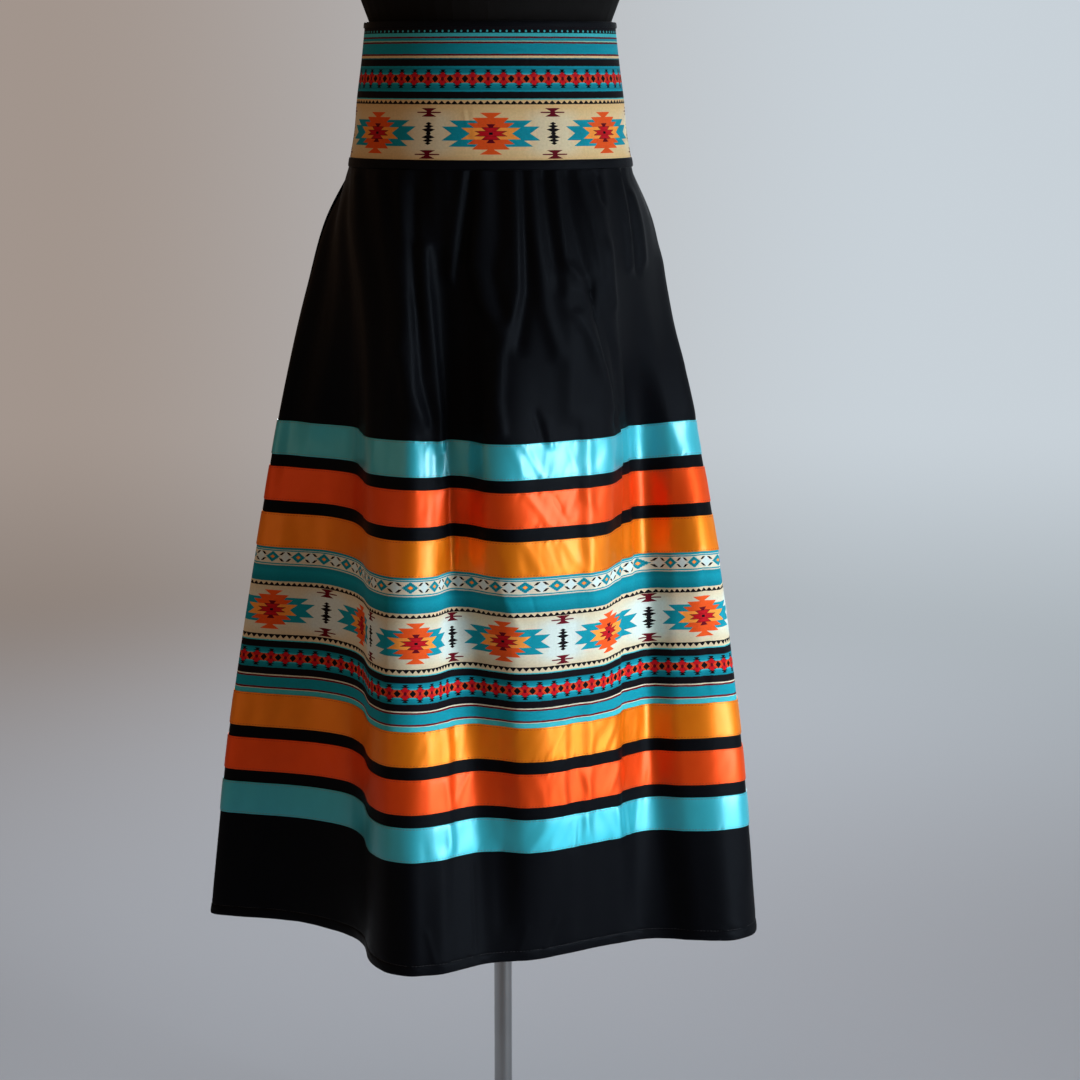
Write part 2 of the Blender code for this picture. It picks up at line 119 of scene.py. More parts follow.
BACK_DEPTH = (-148, -165, -170, -174, -182)
BACK_GROWTH = (0.45, 0.72, 0.74, 0.72, 0.78)


# ---------------------------------------------------------- the surface
def fold_lines():
    rows = [list(r) for r in FRONT_FOLDS + RIGHT_SEAM]
    left = FRONT_FOLDS[0]
    right = RIGHT_SEAM[0]
    for name, parts, turn, across, fold in BACK_FOLDS:
        row = [name, parts, turn]
        for k in range(5):
            rx, rd = right[3 + 2 * k], right[4 + 2 * k]
            lx, ld = left[3 + 2 * k], left[4 + 2 * k]
            mid, half = 0.5 * (rx + lx), 0.5 * (rx - lx)
            side = rd if across > 0 else ld
            round_off = (1.0 - abs(across) ** 2.5) ** 0.5
            depth = side + (BACK_DEPTH[k] - side) * round_off
            push = fold * BACK_GROWTH[k]
            lean = across * abs(across)
            row += [mid + half * across + push * lean,
                    depth - push * math.sqrt(max(0.0, 1.0 - lean * lean))]
        rows.append(row)
    return rows


LINES = fold_lines()
TURNS = np.array([math.radians(r[2]) for r in LINES])
PARTS = [r[1] for r in LINES]
N_LINES = len(LINES)
N_FRONT = len(FRONT_FOLDS)          # s of the right seam


def ellipse(turn, half, front, back):
    depth = np.where(np.cos(turn) > 0, front, back)
    return np.stack([BAND_CENTRE_X + half * np.sin(turn), depth * np.cos(turn)], 1)


def moved_out(ring, distance):
    """Ring moved out along the bisectors of its corners; distance may vary."""
    edge = np.roll(ring, -1, 0) - ring
    edge = edge / np.linalg.norm(edge, axis=1)[:, None]
    outward = np.stack([-edge[:, 1], edge[:, 0]], 1)
    mean = outward + np.roll(outward, 1, 0)
    size = np.linalg.norm(mean, axis=1)
    mean = mean / size[:, None]
    stretch = np.minimum(1.0 / np.maximum(size * 0.5, 1e-6), 1.4)
    return ring + mean * (distance * stretch)[:, None]


def level_knots():
    v, half, front, back = BAND_RINGS[-1]
    out = [ellipse(TURNS, half, front, back)]
    for k in range(5):
        out.append(np.array([[r[3 + 2 * k], r[4 + 2 * k]] for r in LINES]) * 0.001)
    yoke = out[0] + (out[1] - out[0]) * YOKE_SHARE
    out.insert(1, moved_out(yoke, np.full(len(yoke), YOKE_OUT)))
    return np.array(out)


KNOTS = level_knots()


def along(levels, values, v):
    n = len(levels)
    i = 0
    while i < n - 2 and v > levels[i + 1]:
        i += 1

    def slope(j):
        if j == 0:
            return (values[1] - values[0]) / (levels[1] - levels[0])
        if j == n - 1:
            return (values[-1] - values[-2]) / (levels[-1] - levels[-2])
        a, b = levels[j] - levels[j - 1], levels[j + 1] - levels[j]
        da, db = (values[j] - values[j - 1]) / a, (values[j + 1] - values[j]) / b
        return (da * b + db * a) / (a + b)

    h = levels[i + 1] - levels[i]
    t = (v - levels[i]) / h
    t2, t3 = t * t, t * t * t
    return (values[i] * (2 * t3 - 3 * t2 + 1) + slope(i) * h * (t3 - 2 * t2 + t)
            + values[i + 1] * (3 * t2 - 2 * t3) + slope(i + 1) * h * (t3 - t2))


def columns(first, last, k):
    """Column places from fold line first to last: k columns per CAD column."""
    out = []
    for i in range(first, last):
        n = PARTS[i % N_LINES] * k
        out += [i + j / n for j in range(n)]
    return np.array(out + [float(last)])


def curve_at(points, s):
    """Closed smooth curve through points at the places s (in fold lines)."""
    n = len(points)
    before, after = np.roll(points, 1, 0), np.roll(points, -1, 0)
    c_before = np.linalg.norm(points - before, axis=1) ** 0.5
    c_after = np.linalg.norm(after - points, axis=1) ** 0.5
    tangent = ((points - before) / c_before[:, None] * c_after[:, None]
               + (after - points) / c_after[:, None] * c_before[:, None]) \
        / (c_before + c_after)[:, None]
    i = np.floor(s).astype(int)
    t = (s - i)[:, None]
    i = i % n
    j = (i + 1) % n
    c = c_after[i][:, None]
    t2, t3 = t * t, t * t * t
    return (points[i] * (2 * t3 - 3 * t2 + 1) + tangent[i] * c * (t3 - 2 * t2 + t)
            + points[j] * (3 * t2 - 2 * t3) + tangent[j] * c * (t3 - t2))


S_RING = np.concatenate([i + np.arange(PARTS[i] * 10) / (PARTS[i] * 10)
                         for i in range(N_LINES)] + [[float(N_LINES)]])


def skirt_curve(v, s):
    return curve_at(along(LEVELS, KNOTS, v), s)


def band_curve(v, s):
    levels = [r[0] for r in BAND_RINGS]
    half, front, back = along(levels, np.array([r[1:] for r in BAND_RINGS]), v)
    return curve_at(ellipse(TURNS, half, front, back), s)


def arc_table(curve, v):
    """Distance round the cloth (m) from the left seam, at S_RING."""
    p = curve(v, S_RING)
    return np.concatenate([[0.0], np.cumsum(np.linalg.norm(np.diff(p, axis=0), axis=1))])


ARC_VS = np.linspace(LEVELS[0], SKIRT_LENGTH, 60)
ARCS = np.array([arc_table(skirt_curve, v) for v in ARC_VS])


def arc_at(v, s):
    """Distance round the skirt cloth from the left seam (m)."""
    f = np.clip((v - ARC_VS[0]) / (ARC_VS[-1] - ARC_VS[0]) * (len(ARC_VS) - 1), 0,
                len(ARC_VS) - 1.001)
    i = int(f)
    row = ARCS[i] * (1 - (f - i)) + ARCS[i + 1] * (f - i)
    return np.interp(np.asarray(s) % N_LINES if np.ndim(s) == 0 else s, S_RING, row)


# ------------------------------------------------------------ unevenness
def noise1(x, seed):
    """Smooth repeatable noise of x, from -1 to 1, with a pitch of 1."""
    x = np.asarray(x, dtype=float)
    i = np.floor(x)
    t = x - i
    t = t * t * t * (t * (6 * t - 15) + 10)

    def cell(k):
        h = np.sin(k * 12.9898 + seed * 78.233) * 43758.5453
        return 2.0 * (h - np.floor(h)) - 1.0
    return cell(i) * (1 - t) + cell(i + 1) * t


def noise2(x, y, seed):
    """Smooth repeatable noise over a plane, from -1 to 1."""
    x, y = np.broadcast_arrays(np.asarray(x, float), np.asarray(y, float))
    i, j = np.floor(x), np.floor(y)
    a, b = x - i, y - j
    a = a * a * (3 - 2 * a)
    b = b * b * (3 - 2 * b)

    def cell(p, q):
        h = np.sin(p * 12.9898 + q * 39.3461 + seed * 78.233) * 43758.5453
        return 2.0 * (h - np.floor(h)) - 1.0
    return ((cell(i, j) * (1 - a) + cell(i + 1, j) * a) * (1 - b)
            + (cell(i, j + 1) * (1 - a) + cell(i + 1, j + 1) * a) * b)


# Soft ridges (height > 0) and troughs (height < 0) laid on the cloth.
# path = (s, v) places; width = how wide it is each way, left and right of its
# line (mm); height in mm; soft = how far it fades past its ends (mm).
CREASES = (
    # name             path                                             left right height soft
    ("lobe_ridge",     ((9.5, .160), (9.0, .227), (8.1, .287), (7.7, .340), (8.0, .385), (8.7, .409)), 10, 6, 3.4, 22),
    ("lobe_groove",    ((9.8, .180), (8.9, .285), (9.1, .371), (9.8, .415)), 5, 5, -2.6, 18),
    ("tuck_line",      ((10.25, .233), (10.15, .272), (10.25, .340), (10.38, .404), (10.3, .440)), 9, 3.5, 3.0, 12),
    ("tuck_shade",     ((10.9, .250), (10.8, .330), (11.0, .425)), 6, 9, -2.4, 25),
    ("hook",           ((10.25, .232), (11.0, .226), (11.7, .222)), 3, 3, 0.9, 5),
    ("upper_line",     ((12.25, .154), (12.0, .194), (11.81, .225), (11.44, .262)), 8, 3, 2.6, 16),
    ("upper_groove",   ((12.55, .156), (12.35, .20), (12.1, .24)), 4, 5, -2.2, 16),
    ("mid_blob",       ((12.9, .156), (12.94, .183), (12.75, .219), (12.56, .250), (12.8, .287), (13.38, .312)), 8, 8, 2.6, 18),
    ("mid_groove",     ((13.5, .160), (13.6, .22), (13.3, .26), (13.7, .30)), 6, 5, -1.8, 18),
    ("centre_line",    ((14.19, .154), (14.25, .214), (14.25, .276), (14.0, .307), (13.62, .343), (13.5, .390), (13.7, .423)), 9, 4, 2.6, 10),
    ("centre_shade",   ((14.5, .156), (14.5, .22), (14.55, .28), (14.3, .33)), 4, 6, -2.3, 20),
    ("second_ridge",   ((14.69, .158), (14.75, .206), (15.0, .252), (15.12, .297), (15.5, .339)), 6, 8, 2.2, 20),
    ("second_groove",  ((15.3, .158), (15.35, .21), (15.6, .27)), 6, 6, -1.8, 20),
    ("third_ridge",    ((15.7, .155), (15.7, .194), (15.85, .246), (16.35, .262)), 7, 4, 2.3, 16),
    ("third_groove",   ((16.2, .158), (16.2, .205), (16.5, .25), (17.0, .30)), 5, 6, -2.0, 18),
    ("soft_middle",    ((15.75, .262), (16.0, .324), (15.9, .404)), 10, 9, 2.2, 22),
    ("panel_ridge",    ((18.6, .156), (18.1, .201), (18.4, .248), (18.7, .291)), 10, 8, 2.4, 20),
    ("panel_vee",      ((18.4, .158), (18.35, .185)), 3, 3, -1.8, 8),
    ("fold_line",      ((16.7, .155), (16.8, .190), (17.1, .233), (17.9, .281), (18.5, .346), (18.45, .414)), 3, 8, 1.6, 12),
    ("side_ridge",     ((20.1, .158), (20.0, .210), (20.1, .256)), 5, 4, 2.4, 12),
    ("side_groove",    ((20.5, .160), (20.45, .215), (20.6, .262)), 4, 4, -2.0, 12),
    ("side_ridge_2",   ((20.9, .185), (21.05, .250)), 5, 6, 1.8, 16),
    ("side_soft",      ((22.6, .262), (22.4, .340), (22.4, .424)), 12, 10, 2.0, 30),
    ("slope_line",     ((16.25, .303), (16.65, .328), (16.95, .360), (17.5, .408)), 7, 6, 2.0, 10),
    ("slope_shade",    ((16.9, .31), (17.3, .35), (17.9, .39)), 4, 6, -1.6, 14),
    ("small_tuck",     ((14.85, .405), (15.1, .434)), 3, 3, -1.2, 6),
    ("small_tuck_2",   ((15.2, .414), (15.3, .440)), 4, 3, 0.9, 6),
    ("left_soft",      ((8.1, .165), (7.5, .272), (7.0, .410)), 9, 8, 1.6, 30),
    ("left_soft_2",    ((3.2, .19), (2.6, .30), (2.2, .42)), 14, 12, 1.8, 40),
    ("left_soft_3",    ((1.2, .20), (1.1, .30), (1.0, .40)), 12, 10, -1.4, 40),
    ("print_crease",   ((14.60, .596), (14.78, .620)), 1.6, 1.6, -0.8, 4),
    ("print_diagonal", ((13.45, .586), (14.4, .640)), 7, 3, 1.2, 10),
    ("print_vertical", ((16.12, .600), (16.15, .680)), 2.5, 4, 0.9, 12),
    ("print_right",    ((22.1, .590), (22.0, .660), (21.8, .72)), 7, 5, -1.8, 18),
    ("print_right_2",  ((22.6, .58), (22.5, .70)), 5, 6, 1.4, 18),
    ("print_left",     ((6.9, .60), (6.9, .69)), 5, 5, 0.8, 16),
    ("low_line",       ((11.62, .900), (11.60, .940), (11.56, .990)), 1.6, 2.4, -0.9, 8),
    ("low_soft",       ((10.2, .890), (10.1, .950), (10.0, 1.00)), 12, 9, 2.0, 25),
    ("low_soft_2",     ((12.9, .890), (12.8, .960)), 8, 14, -1.6, 25),
    ("low_soft_3",     ((15.9, .900), (15.6, .985)), 13, 9, 1.6, 30),
    ("low_soft_4",     ((8.2, .900), (8.4, .990)), 10, 10, 1.4, 30),
    ("hem_drag_1",     ((9.0, .962), (9.5, .996)), 3, 3, 0.8, 6),
    ("hem_drag_2",     ((10.6, .970), (10.2, .998)), 3, 3, 0.7, 6),
    ("hem_drag_3",     ((13.9, .972), (13.5, .997)), 3, 3, 0.8, 6),
    ("hem_drag_4",     ((15.1, .966), (14.6, .997)), 3, 3, 0.8, 6),
    ("hollow",         ((18.1, .30), (18.3, .40), (18.6, .45), (18.6, .58), (18.45, .76), (18.2, .87)), 8, 13, -3.0, 40),
    ("hollow_2",       ((19.6, .40), (19.6, .58)), 14, 34, -6.0, 55),
    ("wing_crest",     ((22.5, .38), (22.65, .42), (22.62, .58)), 24, 9, 4.4, 70),
    ("wing_crest_low", ((22.75, .72), (22.8, .92)), 16, 11, 2.0, 50),
    ("wall_ridge",     ((18.3, .24), (18.7, .30), (18.8, .37), (18.7, .42)), 8, 8, 2.6, 24),
    ("wall_trough",    ((16.9, .28), (17.5, .33), (17.7, .42)), 6, 7, -3.6, 20),
    ("slope_fold",     ((16.3, .42), (16.35, .52), (16.5, .60)), 9, 7, 2.6, 26),
    ("slope_fold_2",   ((16.5, .72), (16.45, .80), (16.3, .87)), 8, 6, 1.9, 22),
    ("slope_fold_3",   ((17.7, .74), (17.9, .82), (18.0, .88)), 11, 10, 1.5, 22),
    ("middle_fold",    ((15.6, .74), (15.55, .83)), 8, 6, 1.2, 16),
    ("lobe_fold",      ((10.5, .44), (10.5, .55)), 7, 5, 1.6, 20),
    ("lobe_fold_2",    ((10.6, .74), (10.55, .87)), 7, 6, 1.5, 20),
    ("tuck_fold",      ((11.25, .53), (11.2, .60)), 5, 4, -1.4, 12),
    # the back and the sides, which the picture doesn't show
    ("back_1",         ((25.0, .160), (25.1, .25), (25.3, .36)), 8, 5, 2.6, 25),
    ("back_2",         ((26.2, .158), (26.3, .21), (26.2, .29)), 6, 8, -2.4, 20),
    ("back_3",         ((27.1, .158), (27.3, .24), (27.6, .34), (27.6, .42)), 5, 9, 2.8, 20),
    ("back_4",         ((28.2, .158), (28.4, .22), (28.3, .28)), 7, 5, -2.2, 18),
    ("back_5",         ((29.2, .160), (29.1, .23), (29.3, .33), (29.5, .43)), 9, 4, 2.7, 20),
    ("back_6",         ((30.3, .160), (30.4, .26)), 5, 6, -2.0, 18),
    ("back_7",         ((31.2, .158), (31.3, .21), (31.1, .31)), 7, 6, 2.5, 22),
    ("back_8",         ((32.4, .160), (32.3, .25), (32.5, .36), (32.4, .43)), 4, 8, 2.2, 20),
    ("back_9",         ((33.3, .158), (33.4, .22)), 6, 6, -2.3, 16),
    ("back_10",        ((34.3, .160), (34.2, .28), (34.4, .40)), 8, 6, 2.2, 24),
    ("back_11",        ((35.6, .160), (35.5, .25)), 6, 6, -1.8, 18),
    ("back_12",        ((36.8, .180), (36.9, .30), (36.7, .42)), 10, 9, 2.0, 30),
    ("back_print_1",   ((28.9, .58), (29.0, .73)), 6, 5, 1.4, 20),
    ("back_print_2",   ((33.0, .60), (32.8, .72)), 5, 6, -1.3, 20),
    ("back_low_1",     ((27.5, .89), (27.7, .99)), 9, 11, 1.8, 26),
    ("back_low_2",     ((30.8, .90), (31.0, .97)), 9, 8, -1.5, 24),
    ("back_low_3",     ((34.8, .89), (34.6, .99)), 10, 9, 1.8, 26),
)
_FOLD_MID = {}


def crease_field(v, s):
    """Height (m) of all the listed creases on the row at v."""
    here = arc_at(v, s)
    out = np.zeros(len(s))
    for name, path, left, right, height, soft in CREASES:
        v0, v1 = path[0][1], path[-1][1]
        steep = name == "hook"
        if steep:
            # a nearly level crease: measured down the cloth instead
            ps = np.array([p[0] for p in path])
            pv = np.array([p[1] for p in path])
            line = np.interp(s, ps, pv)
            a = (v - line) * 1000.0
            end = np.clip(1 - np.maximum(ps[0] - s, s - ps[-1]) / 0.4, 0, 1)
            end = np.where((s > ps[0]) & (s < ps[-1]), 1.0, end)
            out += height * np.exp(-(a / left) ** 2) * end * end * (3 - 2 * end)
            continue
        fade = soft * 0.001
        if v < v0 - fade or v > v1 + fade:
            continue
        ends = 1.0
        if v < v0:
            ends = 1 - (v0 - v) / fade
        elif v > v1:
            ends = 1 - (v - v1) / fade
        ends = ends * ends * (3 - 2 * ends)
        ps = float(np.interp(v, [p[1] for p in path], [p[0] for p in path]))
        a = (here - arc_at(v, ps)) * 1000.0
        deep, wide = (1.6, 1.3) if v1 < 0.45 else (1.0, 1.0)
        w = np.where(a < 0, left, right) * wide
        out += height * deep * ends * np.exp(-(a / w) ** 2)
    return out * 0.001


WAIST_ARC = arc_table(skirt_curve, LEVELS[0])
MID_ARC = arc_table(skirt_curve, 0.36)


def uneven(v, s):
    """Height (m) of all the unevenness of the skirt cloth on the row at v."""
    out = crease_field(v, s)
    w = np.interp(s, S_RING, WAIST_ARC) * 1000.0
    down = (v - LEVELS[0]) * 1000.0
    # small gathers that start at the seam and fade at different lengths
    for pitch, size, reach, seed in ((24.0, 2.9, 130.0, 3), (13.0, 1.5, 70.0, 7),
                                     (7.5, 0.45, 26.0, 11)):
        n = noise1(w / pitch, seed)
        own = reach * (1.0 + 0.45 * noise1(w / pitch * 0.5 + 9.0, seed + 1))
        start = np.clip(0.35 + down / 14.0, 0.0, 1.0)
        sharp = np.sign(n) * np.abs(n) ** 0.8
        out += 0.001 * size * sharp * start * np.exp(-np.maximum(down, 0.0) / own * 1.25)
    # slow unevenness of hanging cotton, longer down the cloth than round it
    m = np.interp(s, S_RING, MID_ARC) * 1000.0
    body = np.clip(down / 60.0, 0, 1)
    out += 0.001 * body * (0.75 * noise2(m / 38.0, v * 1000.0 / 190.0, 21)
                           + 0.28 * noise2(m / 15.0, v * 1000.0 / 80.0, 22))
    return out


# How far the cloth hangs below its level place in the folds: s, and mm at
# ribbon 1, ribbon 3, ribbon 5 and the hem.
SAG = (
    (7.0, 0.0, 0.0, 0.0, 0.0), (8.0, -1.0, -0.2, -0.2, 0.0), (9.0, 0.4, 0.2, 0.2, 0.0),
    (10.0, 1.1, 0.4, 0.2, 0.0), (11.0, 0.0, 0.0, 0.0, 0.0), (18.0, 0.0, 0.0, 0.0, 0.0),
    (19.0, 0.6, 1.1, 1.7, 0.9), (20.0, 2.6, 3.0, 2.2, 1.1), (21.0, -1.4, -0.8, -0.4, -0.5),
    (22.0, -1.7, -2.8, -1.5, -0.7), (23.0, 0.0, 0.0, 0.0, 0.0),
)


def sag(v, s):
    """Downward shift (m) of the cloth on the row at v."""
    table = np.array(SAG)
    share = np.array([np.interp(v, (0.22, 0.4364, 0.5781, 0.7939, SKIRT_LENGTH), row)
                      for row in ((0, 1, 0, 0, 0), (0, 0, 1, 0, 0), (0, 0, 0, 1, 0),
                                  (0, 0, 0, 0, 1))])
    return np.interp(s, table[:, 0], table[:, 1:] @ share) * 0.001


# Small hard creases in the satin: ribbon number, place s, lean (mm sideways
# over the ribbon's width), width (mm), height (mm).
SATIN_CREASES = (
    (1, 14.30, 9, 4.0, 1.0), (1, 14.75, 14, 3.0, 0.8), (1, 6.30, -5, 4.0, 0.9),
    (1, 12.9, 3, 6.0, 0.7), (1, 17.0, 6, 4.0, 0.8), (1, 15.9, 10, 3.0, -0.5),
    (2, 14.9, 16, 4.0, 1.0), (2, 15.5, 12, 3.0, -0.7), (2, 16.4, 12, 3.5, 0.8),
    (2, 11.0, 4, 4.0, 0.8), (2, 9.4, -6, 5.0, 0.7), (2, 17.2, 8, 3.0, 0.7),
    (3, 14.7, 10, 4.5, 0.9), (3, 15.9, 13, 4.0, 0.8), (3, 12.2, 5, 5.0, -0.7),
    (3, 16.7, 5, 3.0, 0.8), (3, 20.6, -5, 5.0, 0.7), (3, 13.6, 9, 4.0, 0.6),
    (4, 17.4, -13, 3.2, 1.3), (4, 17.9, -9, 2.6, 1.1), (4, 18.4, -12, 3.0, -0.9),
    (4, 16.6, -8, 4.0, 0.9), (4, 15.3, -10, 4.0, 0.8), (4, 10.6, 4, 5.0, 0.9),
    (4, 11.4, -6, 4.0, -0.6), (4, 9.4, 4, 6.0, 0.7), (4, 19.2, -6, 3.0, 0.7),
    (5, 16.35, 8, 3.0, 1.2), (5, 17.6, -12, 3.4, 1.2), (5, 18.3, -10, 2.6, 1.0),
    (5, 10.5, 5, 4.0, 1.0), (5, 11.2, -12, 3.0, 0.8), (5, 15.7, 5, 4.0, -0.7),
    (5, 14.0, 6, 5.0, 0.6), (5, 19.6, -4, 3.0, 0.6), (5, 3.4, 12, 3.0, 0.6),
    (6, 15.9, -4, 3.0, 1.3), (6, 16.4, 6, 2.6, 0.9), (6, 17.9, 4, 3.2, 1.3),
    (6, 18.5, 2, 2.4, 1.1), (6, 18.9, -6, 2.6, -0.8), (6, 10.6, 3, 4.0, 0.9),
    (6, 9.7, -3, 4.5, 0.8), (6, 13.2, 5, 6.0, 0.6), (6, 5.6, 4, 3.0, 0.7),
    (1, 26.3, 8, 4.0, 0.9), (2, 28.6, -9, 3.5, 0.9), (3, 31.4, 8, 4.0, 0.9),
    (4, 27.3, 9, 3.5, 1.0), (5, 30.4, -8, 3.0, 1.0), (6, 33.4, 7, 3.5, 1.0),
    (4, 34.5, -7, 3.0, 0.9), (6, 28.2, -6, 3.5, 0.9), (2, 33.2, 7, 4.0, 0.8),
)


def satin(number, v, s):
    """Height (m) of the satin over the cotton that it is sewn to."""
    top, foot = RIBBONS[number - 1]
    mid = 0.5 * (top + foot)
    t = (v - top) / (foot - top)
    u = arc_at(mid, s) * 1000.0
    edge_mm = min(v - top, foot - v) * 1000.0
    near = math.exp(-(max(edge_mm, 0.0) / 5.5) ** 2)
    side = 1 if t < 0.5 else 2
    # puckers where the stitching has drawn the satin in
    amount = 0.16 + 0.30 * np.clip(noise1(u / 55.0, 40 + number * 2 + side) + 0.25, 0, 1)
    front_right = np.exp(-((u - arc_at(mid, 15.8) * 1000.0) / 85.0) ** 2)
    amount = amount + 0.20 * front_right
    lean = u + (6.0 if side == 1 else -6.0) * edge_mm / 12.0
    pucker = 0.62 * noise1(lean / 3.4, 60 + number * 2 + side) \
        + 0.38 * noise1(lean / 6.3, 90 + number * 2 + side)
    out = amount * pucker * near
    # the satin stands a little full between its two rows of stitches
    hump = 4 * t * (1 - t) if 0 < t < 1 else 0.0
    out = out + 0.22 * hump * (0.8 + 0.7 * noise1(u / 46.0, 120 + number))
    # slack that runs aslant across it, more of it where the cloth is pulled
    slant = u + (t - 0.5) * (9.0 + 22.0 * noise1(u / 80.0, 150 + number))
    pulled = 0.55 + 0.75 * front_right
    out = out + (0.20 + 0.80 * hump) * pulled \
        * (0.62 * noise2(slant / 15.0, t * 1.1, 140 + number)
           + 0.13 * noise2(slant / 6.0, t * 1.5, 160 + number))
    for n, ps, leaning, width, height in SATIN_CREASES:
        if n != number:
            continue
        centre = arc_at(mid, ps) * 1000.0 + 1.7 * leaning * (t - 0.5)
        a = (u - centre) / (1.55 * width)
        hold = (4 * t * (1 - t)) ** 0.5 if 0 < t < 1 else 0.0
        out = out + height * 0.85 * np.exp(-a * a) * (0.25 + 0.75 * hold)
    # it lies flat where it is caught in the side seams
    seams = arc_at(mid, np.array([0.0, 23.0, 38.0])) * 1000.0
    off = np.min(np.abs(u[:, None] - seams[None, :]), axis=1)
    return out * np.clip(off / 9.0, 0.12, 1.0) * 0.001


def band_uneven(v, s):
    """Height (m) of the small wrinkles of the waistband."""
    p = WAIST_ARC_BAND(s) * 1000.0
    out = 0.10 * noise2(p / 30.0, v * 1000.0 / 60.0, 31) + 0.05 * noise2(p / 9.0, v * 1000.0 / 40.0, 32)
    for place, v0, v1, lean, width, height in (
            (-30.0, 0.086, 0.118, 9.0, 2.2, 0.75), (-24.0, 0.090, 0.140, 5.0, 3.0, -0.5),
            (-20.0, 0.084, 0.142, 2.0, 3.5, 0.45), (42.0, 0.012, 0.150, 0.0, 1.3, -0.45),
            (30.0, 0.100, 0.150, -2.0, 5.0, 0.35), (2.0, 0.120, 0.150, 1.0, 3.0, 0.35),
            (-62.0, 0.04, 0.12, 3.0, 6.0, 0.35), (78.0, 0.03, 0.12, -3.0, 6.0, 0.3)):
        f = np.clip(min(v - v0, v1 - v) / 0.012, 0, 1)
        line = place + lean * (v - v0) / (v1 - v0)
        out = out + height * f * np.exp(-((p - BAND_ZERO * 1000.0 - line) / width) ** 2)
    return out * 0.001


_BAND_TABLE = arc_table(band_curve, 0.100)


def WAIST_ARC_BAND(s):
    return np.interp(s, S_RING, _BAND_TABLE)


BAND_ZERO = float(np.interp(math.radians(1.0), TURNS[:N_FRONT + 1], np.arange(N_FRONT + 1)))
BAND_ZERO = float(WAIST_ARC_BAND(BAND_ZERO))


# ------------------------------------------------------------- meshes
def normal_2d(curve_points_fn, v, s):
    eps = 0.02
    a, b = curve_points_fn(v, s - eps), curve_points_fn(v, s + eps)
    t = b - a
    t = t / np.linalg.norm(t, axis=1)[:, None]
    return np.stack([-t[:, 1], t[:, 0]], 1)


def layer(curve, rows, s, height, zmove=None):
    """Points [row][column] of a layer: height(i, v, s) is moved out."""
    out = np.empty((len(rows), len(s), 3))
    for i, v in enumerate(rows):
        p = curve(v, s)
        n = normal_2d(curve, v, s)
        h = height(i, v, s)
        q = p + n * np.asarray(h).reshape(-1, 1) if np.ndim(h) else p + n * h
        out[i, :, 0] = q[:, 0]
        out[i, :, 1] = -q[:, 1]
        out[i, :, 2] = WAIST_Z - v + (0.0 if zmove is None else zmove(i, v, s))
    return out


def draw_in(grid):
    """Ends of a piece drawn in by half a seam gap."""
    for end, inner in ((0, 1), (-1, -2)):
        step = grid[:, inner] - grid[:, end]
        step /= np.linalg.norm(step, axis=1)[:, None]
        grid[:, end] += step * (SEAM_GAP * 0.6)
    return grid


def mesh_from(name, verts, faces, uvs, mats, bake=None, angle=42.0):
    mesh = bpy.data.meshes.new(name)
    mesh.from_pydata(verts.reshape(-1, 3).tolist(), [], faces)
    mesh.update()
    loops = np.empty(len(mesh.loops), dtype=np.int32)
    mesh.loops.foreach_get("vertex_index", loops)
    layer_uv = mesh.uv_layers.new(name="cloth")
    layer_uv.data.foreach_set("uv", uvs[loops].astype(np.float32).ravel())
    if bake is not None:
        layer_bake = mesh.uv_layers.new(name="OFBake")
        layer_bake.data.foreach_set("uv", bake[loops].astype(np.float32).ravel())
    for m in mats:
        mesh.materials.append(m)
    mesh.shade_smooth()
    mesh.set_sharp_from_angle(angle=math.radians(angle))
    obj = bpy.data.objects.new(name, mesh)
    bpy.context.scene.collection.objects.link(obj)
    return obj


def wall(name, outer, inner, u_outer, v_outer, mats, angle=42.0):
    """A closed wall between two grids of points [row][column]."""
    draw_in(outer)
    draw_in(inner)
    rows, cols = outer.shape[:2]
    total = rows * cols
    idx = np.arange(total).reshape(rows, cols)
    a, b, c, d = idx[:-1, :-1], idx[1:, :-1], idx[1:, 1:], idx[:-1, 1:]
    faces = [np.stack([a, b, c, d], -1).reshape(-1, 4),
             np.stack([a, d, c, b], -1).reshape(-1, 4) + total]
    top, bottom = idx[0], idx[-1]
    faces.append(np.stack([top[:-1], top[1:], top[1:] + total, top[:-1] + total], -1))
    faces.append(np.stack([bottom[:-1], bottom[:-1] + total, bottom[1:] + total,
                           bottom[1:]], -1))
    left, right = idx[:, 0], idx[:, -1]
    faces.append(np.stack([left[:-1], left[:-1] + total, left[1:] + total, left[1:]], -1))
    faces.append(np.stack([right[:-1], right[1:], right[1:] + total,
                           right[:-1] + total], -1))
    faces = np.concatenate(faces).tolist()
    verts = np.concatenate([outer.reshape(-1, 3), inner.reshape(-1, 3)])
    uu = np.broadcast_to(u_outer, (rows, cols))
    vv = np.broadcast_to(np.asarray(v_outer)[:, None], (rows, cols))
    uv = np.stack([uu, vv], -1).reshape(-1, 2)
    # the inner side's stand a little off, so that the edge faces have an area
    uvs = np.concatenate([uv, uv + 0.0007])
    fu = (uu - uu.min()) / max(uu.max() - uu.min(), 1e-9)
    fv = (vv - vv.min()) / max(vv.max() - vv.min(), 1e-9)
    bake_out = np.stack([0.004 + 0.992 * fu, 0.42 + 0.575 * (1 - fv)], -1).reshape(-1, 2)
    bake_in = np.stack([0.004 + 0.992 * fu, 0.004 + 0.40 * (1 - fv)], -1).reshape(-1, 2)
    return mesh_from(name, verts, faces, uvs, mats, np.concatenate([bake_out, bake_in]), angle)


def ride(obj, nodes):
    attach(obj, "root")
    if nodes:
        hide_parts(*nodes)
    return obj


